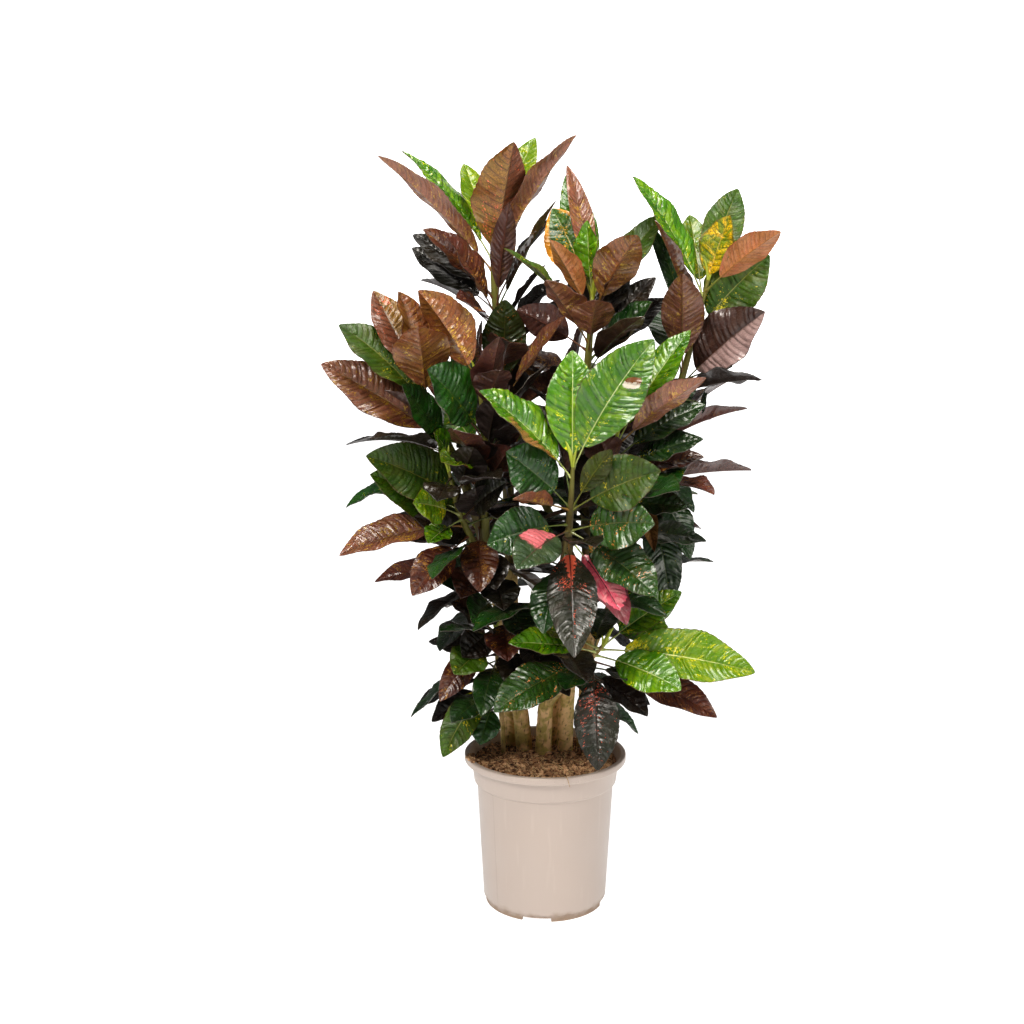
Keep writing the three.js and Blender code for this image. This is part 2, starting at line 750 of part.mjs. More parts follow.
function placeAtHeight(stem, height) {
  const curve = stemCurve(stem);
  const steps = 120;
  let low = curve.getPoint(0).toArray();
  for (let i = 1; i <= steps; i += 1) {
    const high = curve.getPoint(i / steps).toArray();
    if (high[2] >= height || i === steps) {
      const share = Math.min(1, (height - low[2]) / (high[2] - low[2]));
      return {
        centre: add(low, minus(high, low), share),
        radius: stemRadius(stem, (i - 1 + share) / steps),
      };
    }
    low = high;
  }
  return null;
}

// Leaves

function halfWidth(share, width) {
  return (width / 2) * Math.pow(Math.sin(Math.PI * Math.pow(share, 0.92)), 0.8);
}

// The length of the midrib, which bends in an arc over the straight line from joint to tip
function arcLength(leaf) {
  const bend = radians(leaf.bend);
  return (leaf.chord * (bend / 2)) / Math.sin(bend / 2);
}

// A point of the bent midrib and two directions there: across the blade and up out of it
function midrib(leaf, distance) {
  const bend = radians(leaf.bend);
  const arc = arcLength(leaf);
  const share = distance / arc;
  const first = leaf.rise + bend / 2;
  const rise = first - bend * share;
  const out = (arc / bend) * (Math.sin(first) - Math.sin(rise));
  const up = (arc / bend) * (Math.cos(rise) - Math.cos(first));
  const [c, s] = [Math.cos(leaf.azimuth), Math.sin(leaf.azimuth)];
  const along = [Math.cos(rise) * c, Math.cos(rise) * s, Math.sin(rise)];
  const flat = [-s, c, 0];
  const lift = cross(along, flat);
  const roll = radians(leaf.roll) * Math.min(1, distance / PETIOLE);
  const [cr, sr] = [Math.cos(roll), Math.sin(roll)];
  return {
    centre: [leaf.centre[0] + out * c, leaf.centre[1] + out * s, leaf.centre[2] + up],
    across: add(flat.map((v) => v * cr), lift, sr),
    normal: add(lift.map((v) => v * cr), flat, -sr),
  };
}

function bladeDistance(leaf, share) {
  const start = leaf.radius + PETIOLE;
  return start + (arcLength(leaf) - start) * share;
}

function edgeWave(leaf, share, side) {
  const wave = Math.sin(2 * Math.PI * WAVES * share + leaf.phase + side * SIDE_PHASE);
  return WAVE_SHARE * leaf.width * wave * Math.sin(Math.PI * share);
}

// One station of the blade: left edge, middle and right edge, the outline grown by a margin
function bladeStation(leaf, share, margin) {
  const spot = midrib(leaf, bladeDistance(leaf, share));
  const half = halfWidth(share, leaf.width) + margin;
  const fold = radians(FOLD[leaf.kind]);
  const [flat, high] = [half * Math.cos(fold), half * Math.sin(fold)];
  return {
    left: add(add(spot.centre, spot.across, flat), spot.normal, high + edgeWave(leaf, share, 0)),
    middle: spot.centre,
    right: add(add(spot.centre, spot.across, -flat), spot.normal, high + edgeWave(leaf, share, 1)),
    normal: spot.normal,
  };
}

function stationsOf(leaf) {
  if (leaf.inner || leaf.kind === "black") {
    return INNER_STATIONS;
  }
  return leaf.width < LARGE_WIDTH ? SMALL_STATIONS : BLADE_STATIONS;
}

function leafSolid(leaf) {
  // The stalk is flat on top and keeled below, so that its ring of four holds its left corner twice
  const petioleRing = (distance) => {
    const spot = midrib(leaf, distance);
    const top = add(spot.centre, spot.normal, PETIOLE_TOP);
    const left = add(top, spot.across, PETIOLE_HALF);
    const right = add(top, spot.across, -PETIOLE_HALF);
    return [left, left, right, add(spot.centre, spot.normal, -PETIOLE_KEEL)];
  };
  const rings = [petioleRing(0), petioleRing(bladeDistance(leaf, BLADE_FOOT))];
  for (const share of stationsOf(leaf)) {
    const spot = bladeStation(leaf, share, 0);
    const thick = MIDRIB_BASE + (MIDRIB_TIP - MIDRIB_BASE) * share;
    rings.push([
      spot.left,
      add(spot.middle, spot.normal, thick / 2),
      spot.right,
      add(spot.middle, spot.normal, -thick / 2),
    ]);
  }
  return toSolid(skin(rings, midrib(leaf, arcLength(leaf)).centre));
}

// Bending clear. A leaf is tried as a thin slab round its middle surface, and kept where that slab
// crosses no other leaf and no stem. The slab and the sheets are lists of points, edges and triangles.

function leafSheet(leaf, start, lift, margin) {
  const points = [];
  const strip = (distance) => {
    const spot = midrib(leaf, distance);
    const middle = add(spot.centre, spot.normal, lift);
    const half = STALK_HALF + margin;
    points.push(add(middle, spot.across, half), middle, add(middle, spot.across, -half));
  };
  strip(leaf.radius + start);
  strip(bladeDistance(leaf, BLADE_FOOT));
  for (const share of stationsOf(leaf)) {
    const spot = bladeStation(leaf, share, margin);
    for (const point of [spot.left, spot.middle, spot.right]) {
      points.push(add(point, spot.normal, lift));
    }
  }
  const end = midrib(leaf, arcLength(leaf) + margin);
  points.push(add(end.centre, end.normal, lift));
  return points;
}

// The triangles, edges and rim of a sheet with three points in each row and one at its tip
function sheetFaces(rows) {
  const tip = 3 * rows;
  const [left, middle, right] = [tip - 3, tip - 2, tip - 1];
  const triangles = [[left, middle, tip], [middle, right, tip]];
  const edges = [[left, middle], [middle, right], [left, tip], [middle, tip], [right, tip]];
  const rim = [[0, 1], [1, 2], [left, tip], [right, tip]];
  for (let i = 0; i + 1 < rows; i += 1) {
    const [l, m, r] = [3 * i, 3 * i + 1, 3 * i + 2];
    triangles.push([l, m, m + 3], [l, m + 3, l + 3], [r, m, m + 3], [r, m + 3, r + 3]);
    edges.push([l, l + 3], [m, m + 3], [r, r + 3], [l, m], [m, r], [l, m + 3], [r, m + 3]);
    rim.push([l, l + 3], [r, r + 3]);
  }
  return { triangles, edges, rim };
}

function shape(points, edges, triangles) {
  const low = [Infinity, Infinity, Infinity];
  const high = [-Infinity, -Infinity, -Infinity];
  for (const point of points) {
    for (let k = 0; k < 3; k += 1) {
      low[k] = Math.min(low[k], point[k]);
      high[k] = Math.max(high[k], point[k]);
    }
  }
  return { points, edges, triangles, low, high };
}

function leafSlab(leaf, start, layer, margin) {
  const upper = leafSheet(leaf, start, layer, margin);
  const points = [...upper, ...leafSheet(leaf, start, -layer, margin)];
  const faces = sheetFaces((upper.length - 1) / 3);
  const shift = upper.length;
  const edges = [...faces.edges, ...faces.edges.map(([i, j]) => [i + shift, j + shift])];
  const triangles = [...faces.triangles, ...faces.triangles.map((t) => t.map((i) => i + shift))];
  for (const [i, j] of faces.rim) {
    triangles.push([i, j, j + shift], [i, j + shift, i + shift]);
  }
  for (let i = 0; i < shift; i += 1) {
    edges.push([i, i + shift]);
  }
  return shape(points, edges, triangles);
}

function stemShapes(stem) {
  const rings = stemRings(stem, CLEAR_STEM);
  const sides = rings[0].length;
  const shapes = [];
  for (let i = 0; i + 1 < rings.length; i += 1) {
    const edges = [];
    const triangles = [];
    for (let k = 0; k < sides; k += 1) {
      const next = (k + 1) % sides;
      edges.push([k, next], [k + sides, next + sides], [k, k + sides]);
      triangles.push([k, next, next + sides], [k, next + sides, k + sides]);
    }
    shapes.push(shape([...rings[i], ...rings[i + 1]], edges, triangles));
  }
  return shapes;
}

function apart(a, b) {
  return [0, 1, 2].some((k) => a.low[k] > b.high[k] || b.low[k] > a.high[k]);
}

function edgeCrossesTriangle(start, end, a, b, c) {
  const way = minus(end, start);
  const [ab, ac] = [minus(b, a), minus(c, a)];
  const p = cross(way, ac);
  const scale = dot(ab, p);
  if (Math.abs(scale) < 1e-9) {
    return false;
  }
  const t = minus(start, a);
  const u = dot(t, p) / scale;
  if (u < 0 || u > 1) {
    return false;
  }
  const q = cross(t, ab);
  const v = dot(way, q) / scale;
  if (v < 0 || u + v > 1) {
    return false;
  }
  const reach = dot(ac, q) / scale;
  return reach >= 0 && reach <= 1;
}

function edgesCross(a, b) {
  for (const [s, e] of a.edges) {
    for (const [i, j, k] of b.triangles) {
      if (edgeCrossesTriangle(a.points[s], a.points[e], b.points[i], b.points[j], b.points[k])) {
        return true;
      }
    }
  }
  return false;
}

function shapesCross(a, b) {
  return !apart(a, b) && (edgesCross(a, b) || edgesCross(b, a));
}

// Leaves stay above the pot's lip and inside the spread of the whole plant
function strays(slab) {
  return slab.points.some(([x, y, z]) => {
    const low = Math.hypot(x, y) < LIP_KEEP_OUT.radius && z < LIP_KEEP_OUT.height;
    return low || Math.abs(x) > SPREAD[0] || Math.abs(y) > SPREAD[1];
  });
}

// Settles every leaf: those with a stated tip first, then the spirals. Each is turned and tilted in
// growing steps until its slab is clear of the other canes and crosses its own cane as little as it can.
// A leaf that finds no such place is tried again shorter, and then left out.
function settleLeaves() {
  const wishes = [];
  const obstacles = [];
  CANES.forEach((cane) => {
    cane.stems.forEach((stem) => {
      stemShapes(stem).forEach((piece) => obstacles.push({ cane, piece }));
      for (const [height, x, y, z, width, bend, roll, kind] of stem.leaves) {
        const joint = placeAtHeight(stem, height);
        const [dx, dy, dz] = minus([x, y, z], joint.centre);
        const flat = Math.hypot(dx, dy);
        wishes.push({
          cane,
          stem,
          ...joint,
          azimuth: Math.atan2(dy, dx),
          rise: Math.atan2(dz, flat),
          chord: Math.hypot(flat, dz),
          width,
          bend,
          roll,
          kind,
          inner: false,
          phase: 0,
        });
      }
    });
  });
  CANES.forEach((cane) => {
    cane.stems.forEach((stem) => {
      const { count, from, to, start, rise, length, width, kinds } = stem.spiral;
      for (let i = 0; i < count; i += 1) {
        const share = (i + 0.5) / count;
        const joint = placeAtHeight(stem, from + (to - from) * share);
        wishes.push({
          cane,
          stem,
          ...joint,
          azimuth: radians(start + GOLDEN_ANGLE * i + between(-SPIRAL.turn, SPIRAL.turn)),
          rise: radians(rise[0] + (rise[1] - rise[0]) * share + between(-SPIRAL.rise, SPIRAL.rise)),
          chord: joint.radius + PETIOLE + between(length[0], length[1]) * SPIRAL.reach,
          width: width * between(...SPIRAL.width),
          bend: between(...SPIRAL.bend),
          roll: between(-SPIRAL.roll, SPIRAL.roll),
          kind: kinds[Math.floor(draw() * kinds.length)],
          inner: true,
          phase: 0,
        });
      }
    });
  });
  const settled = [];
  wishes.forEach((wish) => {
    wish.phase = 2 * Math.PI * draw();
    const own = [];
    const others = [];
    for (const { cane, piece } of obstacles) {
      (cane === wish.cane ? own : others).push(piece);
    }
    let best = null;
    let lowest = Infinity;
    for (const scale of SHORTER) {
      for (let i = 0; i < TURN_TRIES && TURN_STEP * Math.sqrt(i) < lowest; i += 1) {
        const size = TURN_STEP * Math.sqrt(i);
        const leaf = {
          ...wish,
          chord: wish.chord * scale,
          azimuth: wish.azimuth + radians(size) * Math.cos(radians(GOLDEN_ANGLE * i)),
          rise: wish.rise + radians(size) * Math.sin(radians(GOLDEN_ANGLE * i)),
        };
        const slab = leafSlab(leaf, STEM_START, CLEAR_LAYER, CLEAR_EDGE);
        if (!strays(slab) && !others.some((piece) => shapesCross(slab, piece))) {
          const thin = leafSlab(leaf, BLADE_START, OWN_LAYER, OWN_EDGE);
          const each = wish.inner ? CROSSING_COST.spiral : CROSSING_COST.stated;
          const cost = size + each * own.filter((piece) => shapesCross(thin, piece)).length;
          if (cost < lowest) {
            lowest = cost;
            best = leaf;
          }
        }
      }
      if (best) {
        break;
      }
    }
    if (best) {
      const sheet = leafSheet(best, 0, 0, 0);
      const faces = sheetFaces((sheet.length - 1) / 3);
      settled.push(best);
      obstacles.push({ cane: wish.cane, piece: shape(sheet, faces.edges, faces.triangles) });
    }
  });
  return settled;
}

// The plant: each rooted cane with its branches and leaves is one grown piece

function makeCane(cane, leaves) {
  const solids = cane.stems.map((stem) => toSolid(skin(stemRings(stem, 0), null)));
  for (const leaf of leaves) {
    if (leaf.cane === cane) {
      solids.push(leafSolid(leaf));
    }
  }
  return toMesh(cane.name, joinAll(solids), { color: cane.colour, roughness: 0.4, metalness: 0 });
}

const croton = new THREE.Group();
croton.add(makePot());
croton.add(makeSoil());
const settledLeaves = settleLeaves();
for (const cane of CANES) {
  croton.add(makeCane(cane, settledLeaves));
}

export default croton;
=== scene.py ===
"""Potted croton: fine leaves, canes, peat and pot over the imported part, in a plain pale studio."""

import logging
import math
from dataclasses import dataclass, field, replace
from enum import Enum
from typing import Sequence

import bpy
import numpy as np
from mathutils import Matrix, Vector, noise
from mathutils.kdtree import KDTree


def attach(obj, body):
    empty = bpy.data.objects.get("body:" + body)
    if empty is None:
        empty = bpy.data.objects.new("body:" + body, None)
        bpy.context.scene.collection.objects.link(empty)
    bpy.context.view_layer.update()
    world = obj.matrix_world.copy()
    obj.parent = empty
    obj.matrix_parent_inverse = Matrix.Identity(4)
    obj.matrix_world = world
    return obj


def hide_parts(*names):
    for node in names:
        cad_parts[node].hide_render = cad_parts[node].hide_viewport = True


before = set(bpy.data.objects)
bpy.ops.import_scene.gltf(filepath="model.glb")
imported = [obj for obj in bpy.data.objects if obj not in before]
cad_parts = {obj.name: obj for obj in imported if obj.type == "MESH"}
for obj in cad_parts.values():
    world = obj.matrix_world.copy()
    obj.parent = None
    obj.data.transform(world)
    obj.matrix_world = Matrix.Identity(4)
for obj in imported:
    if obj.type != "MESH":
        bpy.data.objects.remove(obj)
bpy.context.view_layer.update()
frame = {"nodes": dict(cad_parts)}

LOG = logging.getLogger("croton")
MM = 0.001
Colour = tuple[float, float, float]
Point = tuple[float, float, float]


class Kind(Enum):
    """The kinds of leaf that one croton bears, from young to old and from light to dark."""

    LIME = "lime"
    GREEN = "green"
    DEEP = "deep"
    COPPER = "copper"
    MAROON = "maroon"
    BLACK = "black"
    FLECK = "fleck"
    BLUSH = "blush"
    PINK = "pink"
    GOLD = "gold"
    DRY = "dry"
    OLIVE = "olive"
    MAUVE = "mauve"
    MOSS = "moss"
    SPICE = "spice"
    EMBER = "ember"
    MOTTLE = "mottle"
    DUSK_LIT_HALF = "dusk"
    SCORCH = "scorch"
    BLAZE = "blaze"
    CUFF = "cuff"


class Slot(Enum):
    """The material slots that the pieces stand for."""

    POT = "pot_plastic"
    PEAT = "peat"
    LEAF = "leaf"
    BARK = "bark"


@dataclass(frozen=True)
class Row:
    """One leaf: its joint's height, its tip, its width, its bend and roll in degrees, its kind.

    Its look is the finish that it wears where that differs from its kind's.
    """

    height: float
    x: float
    y: float
    z: float
    width: float
    bend: float
    roll: float
    kind: Kind
    look: Kind | None = None


@dataclass(frozen=True)
class Spiral:
    """The rule for the other leaves of a stem, from its lowest to its highest joint."""

    count: int
    low: float
    high: float
    start: float
    rise: tuple[float, float]
    length: tuple[float, float]
    width: float
    kinds: tuple[Kind, ...]


@dataclass(frozen=True)
class Stem:
    """A stem's points from its foot to its growing tip, its radii there, and its leaves."""

    points: tuple[Point, ...]
    radii: tuple[float, ...]
    spiral: Spiral
    leaves: tuple[Row, ...] = ()


@dataclass(frozen=True)
class Cane:
    """A rooted cane: a node of the part, and its stems."""

    node: str
    stems: tuple[Stem, ...]


GREEN_ROSETTE = Stem(
    points=(
        (-2, 10, 155), (-2, 10, 240), (4, -2, 340), (14, -30, 430), (24, -62, 510), (30, -95, 590),
        (33, -118, 668),
    ),
    radii=(12.5, 12, 10, 8, 6.5, 5, 2.6),
    spiral=Spiral(9, 330, 590, 20, (-30, 10), (130, 155), 60, (Kind.DEEP, Kind.BLACK)),
    leaves=(
        Row(650, -93, -130, 771, 78, 22, -35, Kind.LIME, Kind.CUFF),
        Row(650, 33, -80, 822, 75, 15, 0, Kind.GREEN),
        Row(663, 150, -80, 828, 88, 18, 69, Kind.GREEN, Kind.SCORCH),
        Row(608, -49, -150, 693, 84, 15, -75, Kind.DEEP),
        Row(603, 83, -150, 695, 36, 12, -60, Kind.COPPER, Kind.MOSS),
        Row(604, 148, -150, 667, 80, 18, 75, Kind.GREEN, Kind.MOSS),
        Row(574, 139, -170, 599, 76, 20, 75, Kind.FLECK, Kind.MOTTLE),
        Row(584, -82, -175, 572, 72, 20, -73, Kind.DEEP),
        Row(605, -48, -165, 632, 42, 12, 30, Kind.MAROON, Kind.MAUVE),
        Row(575, -44, -215, 548, 62, 20, -30, Kind.BLUSH),
        Row(565, 32, -226, 432, 68, 35, 0, Kind.FLECK, Kind.BLAZE),
        Row(565, 110, -180, 475, 57, 20, 10, Kind.PINK),
        Row(575, 144, -165, 500, 77, 20, 30, Kind.DEEP, Kind.MOTTLE),
        Row(545, -7, -150, 445, 59, 25, 0, Kind.DEEP),
        Row(620, 11, -70, 712, 58, 14, 75, Kind.DEEP),
    ),
)
LOW_RIGHT_SHOOT = Stem(
    points=((2, 2, 296), (26, -28, 335), (54, -62, 375), (78, -88, 412)),
    radii=(6, 5, 4, 2.4),
    spiral=Spiral(4, 330, 400, 60, (-20, 20), (100, 125), 50, (Kind.BLACK, Kind.DEEP)),
    leaves=(
        Row(405, 288, -110, 379, 82, 15, 50, Kind.LIME),
        Row(408, 190, -60, 482, 57, 12, 40, Kind.GREEN),
        Row(395, 181, -150, 366, 68, 20, 40, Kind.DEEP, Kind.GREEN),
        Row(385, 238, -100, 311, 62, 22, 40, Kind.BLACK, Kind.MAROON),
        Row(390, 69, -150, 251, 64, 30, 0, Kind.FLECK),
        Row(400, -54, -120, 424, 54, 15, -30, Kind.GREEN),
        Row(385, -74, -150, 335, 68, 20, -35, Kind.BLUSH, Kind.MOTTLE),
        Row(380, 24, -150, 366, 47, 15, 0, Kind.DEEP),
        Row(405, -10, -90, 438, 50, 15, -20, Kind.GOLD, Kind.LIME),
        Row(370, 141, -100, 313, 54, 20, 20, Kind.BLACK),
        Row(360, 149, -50, 314, 50, 20, 20, Kind.BLACK),
    ),
)
TOP_RIGHT_SHOOT = Stem(
    points=(
        (30, 22, 155), (30, 22, 240), (35, 19, 340), (46, 14, 440), (92, 28, 540), (146, 42, 630),
        (178, 42, 710), (204, 32, 810), (228, 20, 915),
    ),
    radii=(12.5, 12, 11, 10, 8, 7, 6, 4.6, 2.6),
    spiral=Spiral(
        9, 560, 790, 70, (-10, 35), (130, 160), 62, (Kind.DEEP, Kind.MAROON, Kind.BLACK)
    ),
    leaves=(
        Row(890, 119, 15, 1057, 59, 20, -40, Kind.GREEN),
        Row(850, 159, -15, 1004, 64, 10, -30, Kind.MAROON, Kind.MAUVE),
        Row(890, 244, 10, 1007, 60, 10, 75, Kind.GOLD),
        Row(904, 279, 100, 1045, 58, 20, 31, Kind.DEEP, Kind.MOSS),
        Row(898, 320, -40, 995, 50, 14, -45, Kind.COPPER, Kind.SPICE),
        Row(837, 299, 0, 958, 88, 14, 75, Kind.GREEN, Kind.MOSS),
        Row(763, 301, -30, 872, 90, 12, 75, Kind.MAROON, Kind.DUSK_LIT_HALF),
        Row(812, 142, 70, 1001, 26, 30, -66, Kind.GREEN, Kind.DEEP),
        Row(885, 210, 100, 1008, 54, 10, 0, Kind.GREEN, Kind.LIME),
        Row(777, 192, 0, 940, 64, 14, -1, Kind.MAROON, Kind.MAUVE),
        Row(770, 254, -10, 802, 57, 20, 30, Kind.DEEP),
        Row(745, 232, 40, 736, 57, 25, 30, Kind.DEEP),
    ),
)
RIGHT_FRONT_SHOOT = Stem(
    points=((46, 14, 440), (72, -18, 530), (90, -50, 620), (95, -68, 702)),
    radii=(7, 6, 5, 2.6),
    spiral=Spiral(7, 480, 680, 100, (-15, 40), (125, 150), 60, (Kind.BLACK, Kind.DEEP)),
    leaves=(
        Row(690, 200, -20, 846, 66, 15, 25, Kind.GREEN),
        Row(688, 212, -100, 786, 52, 15, -45, Kind.COPPER, Kind.MAUVE),
        Row(670, 222, -30, 743, 57, 25, 30, Kind.DEEP),
        Row(650, 214, -70, 700, 59, 25, 30, Kind.DEEP),
        Row(640, 218, -50, 672, 53, 20, 30, Kind.MAROON),
        Row(600, 196, -60, 602, 53, 25, 30, Kind.DEEP),
        Row(640, 70, -110, 703, 56, 14, 28, Kind.MAROON),
    ),
)
RIGHT_SIDE_SHOOT = Stem(
    points=((92, 28, 540), (128, 52, 590), (142, 66, 640), (150, 72, 700)),
    radii=(6, 5, 4.4, 2.6),
    spiral=Spiral(
        7, 560, 690, 30, (-15, 50), (125, 155), 60, (Kind.DEEP, Kind.BLACK, Kind.MAROON)
    ),
    leaves=(
        Row(690, 225, 110, 770, 57, 20, 30, Kind.DEEP),
        Row(665, 231, 60, 639, 53, 30, 20, Kind.MAROON),
        Row(640, 211, 20, 512, 57, 30, 20, Kind.DEEP),
        Row(620, 203, -20, 461, 57, 35, 20, Kind.DEEP),
        Row(650, 206, 60, 564, 54, 30, 20, Kind.DEEP),
        Row(600, 151, -60, 539, 35, 60, 20, Kind.DRY),
    ),
)
COPPER_SHOOT = Stem(
    points=(
        (-32, 25, 155), (-32, 25, 240), (-46, 16, 340), (-66, 4, 440), (-88, -10, 540),
        (-112, -22, 620), (-140, -34, 690), (-170, -46, 745), (-188, -56, 790),
    ),
    radii=(12.5, 12, 11, 9.5, 8, 7, 6, 4.6, 2.6),
    spiral=Spiral(9, 350, 690, 200, (-25, 30), (125, 155), 60, (Kind.BLACK, Kind.DEEP)),
    leaves=(
        Row(755, -206, -30, 900, 84, 20, 0, Kind.COPPER),
        Row(738, -172, -140, 855, 84, 24, 9, Kind.COPPER),
        Row(740, -289, -30, 854, 73, 25, -40, Kind.GREEN, Kind.MOSS),
        Row(690, -315, -30, 800, 81, 12, -55, Kind.MAROON, Kind.MAUVE),
        Row(665, -196, -115, 778, 62, 12, -75, Kind.DEEP),
        Row(700, -207, -90, 785, 47, 15, 0, Kind.MAROON),
        Row(668, -287, 10, 682, 45, 45, 0, Kind.BLACK),
        Row(500, -60, -120, 470, 60, 20, 0, Kind.BLACK),
        Row(470, -20, -100, 425, 58, 25, 0, Kind.DEEP),
        Row(458, -104, -110, 450, 58, 24, -47, Kind.DEEP),
        Row(520, -120, -90, 480, 56, 25, -20, Kind.MAROON),
        Row(400, -40, -85, 345, 56, 25, 0, Kind.BLACK),
        Row(370, -100, -70, 320, 54, 25, -20, Kind.DEEP),
        Row(765, -248, 30, 890, 59, 15, -20, Kind.GREEN, Kind.OLIVE),
        Row(649, -159, -70, 715, 46, 12, -75, Kind.DEEP, Kind.GREEN),
        Row(569, -93, -110, 493, 56, 40, 1, Kind.MAROON),
        Row(540, -71, -100, 494, 50, 40, 16, Kind.BLACK),
        Row(503, -145, -80, 494, 50, 24, -69, Kind.DEEP),
        Row(438, -55, -95, 400, 62, 35, 10, Kind.MAROON),
        Row(416, -108, -80, 393, 50, 24, -48, Kind.BLACK),
        Row(536, -156, -110, 612, 52, 14, -75, Kind.BLACK),
        Row(562, -116, -95, 660, 62, 14, 25, Kind.BLACK),
        Row(591, -244, -130, 684, 84, 18, -75, Kind.GREEN, Kind.MOSS),
        Row(562, -241, -110, 646, 78, 18, -75, Kind.GREEN, Kind.MOSS),
    ),
)
LOW_LEFT_SHOOT = Stem(
    points=((-80, -4, 505), (-104, -36, 550), (-124, -60, 600), (-136, -70, 655)),
    radii=(6, 5, 4, 2.4),
    spiral=Spiral(4, 535, 640, 250, (-20, 30), (110, 135), 52, (Kind.BLACK, Kind.DEEP)),
    leaves=(
        Row(630, -283, -40, 599, 53, 50, -20, Kind.BLACK, Kind.DEEP),
        Row(591, -181, -140, 622, 56, 15, -75, Kind.GOLD, Kind.LIME),
        Row(575, -283, -100, 532, 64, 25, -30, Kind.COPPER, Kind.MAUVE),
        Row(560, -191, -120, 501, 57, 20, -40, Kind.MAROON),
        Row(585, -163, -120, 564, 42, 15, -20, Kind.GREEN),
        Row(645, -154, -150, 618, 54, 12, -10, Kind.BLACK),
        Row(585, -56, -130, 649, 60, 14, 75, Kind.BLACK),
        Row(608, -95, -120, 691, 56, 14, -37, Kind.BLACK),
    ),
)
INNER_LEFT_SHOOT = Stem(
    points=((-88, -10, 540), (-86, -34, 610), (-86, -56, 690), (-94, -62, 772)),
    radii=(6.5, 5.5, 4.5, 2.6),
    spiral=Spiral(
        7, 570, 760, 330, (-10, 55), (120, 145), 58, (Kind.BLACK, Kind.MAROON, Kind.DEEP)
    ),
    leaves=(
        Row(770, -188, -30, 892, 76, 18, 75, Kind.COPPER),
        Row(768, -92, 20, 858, 40, 12, -75, Kind.MAROON),
        Row(640, -106, -110, 703, 59, 20, 0, Kind.BLACK),
        Row(655, -150, -105, 665, 59, 15, -20, Kind.GOLD, Kind.LIME),
        Row(600, -60, -130, 600, 60, 20, 0, Kind.BLACK),
        Row(625, -20, -110, 640, 58, 20, 0, Kind.DEEP),
        Row(680, -30, -110, 722, 58, 15, 0, Kind.BLACK),
        Row(730, -65, -120, 798, 59, 15, 0, Kind.MAROON),
        Row(666, -141, -10, 737, 58, 12, -75, Kind.GREEN),
        Row(624, -69, -90, 706, 58, 20, -33, Kind.MAROON),
        Row(699, -154, -125, 810, 92, 15, -75, Kind.GREEN, Kind.DEEP),
        Row(668, -69, -110, 760, 50, 14, -19, Kind.BLACK),
    ),
)
TOP_LEFT_SHOOT = Stem(
    points=(
        (-52, 52, 155), (-52, 52, 240), (-50, 56, 360), (-50, 56, 480), (-54, 52, 600),
        (-60, 46, 716), (-66, 42, 820), (-74, 40, 900), (-77, 38, 985),
    ),
    radii=(12, 11.5, 10.5, 9.5, 8.5, 7.5, 6, 5, 2.6),
    spiral=Spiral(
        12, 480, 850, 80, (-10, 40), (125, 155), 58, (Kind.BLACK, Kind.MAROON, Kind.DEEP)
    ),
    leaves=(
        Row(925, -56, 5, 1107, 88, 10, 0, Kind.COPPER, Kind.OLIVE),
        Row(935, 41, 35, 1115, 59, 14, -25, Kind.COPPER, Kind.MAUVE),
        Row(955, 6, 100, 1111, 59, 20, 20, Kind.LIME),
        Row(950, -119, 105, 1081, 59, 15, 0, Kind.LIME),
        Row(940, -207, 85, 1097, 50, 25, -10, Kind.GREEN),
        Row(925, -235, 10, 1085, 53, 15, 25, Kind.COPPER, Kind.MAUVE),
        Row(890, -192, 70, 979, 64, 15, -35, Kind.BLACK),
        Row(870, -195, 95, 961, 61, 10, -35, Kind.BLACK),
        Row(885, -163, 0, 995, 61, 15, -50, Kind.MAROON),
        Row(860, -152, -30, 963, 64, 15, -60, Kind.MAROON),
        Row(870, -53, -40, 1020, 36, 14, -14, Kind.BLACK, Kind.MAROON),
        Row(880, 36, 70, 1017, 47, 35, 0, Kind.BLACK),
        Row(870, -7, 0, 1038, 50, 10, 20, Kind.DEEP),
        Row(845, -126, -40, 891, 53, 20, -40, Kind.MAROON),
        Row(840, -2, 20, 936, 42, 15, 10, Kind.BLACK),
        Row(830, 20, 60, 915, 47, 15, 20, Kind.BLACK),
        Row(638, -79, -20, 715, 50, 14, 40, Kind.DEEP),
        Row(740, 26, -20, 866, 40, 12, 55, Kind.MAROON, Kind.MAUVE),
        Row(588, -66, -60, 681, 58, 14, 12, Kind.BLACK),
        Row(742, -65, -45, 880, 64, 14, 4, Kind.DEEP, Kind.MOTTLE),
        Row(640, -52, -30, 771, 56, 14, -4, Kind.MAROON),
    ),
)
LOW_BACK_SHOOT = Stem(
    points=((-50, 56, 400), (-80, 70, 450), (-106, 80, 500), (-122, 86, 556)),
    radii=(6.5, 5.5, 4.5, 2.6),
    spiral=Spiral(
        10, 425, 550, 120, (-30, 60), (125, 155), 62, (Kind.DEEP, Kind.MAROON, Kind.BLACK)
    ),
)
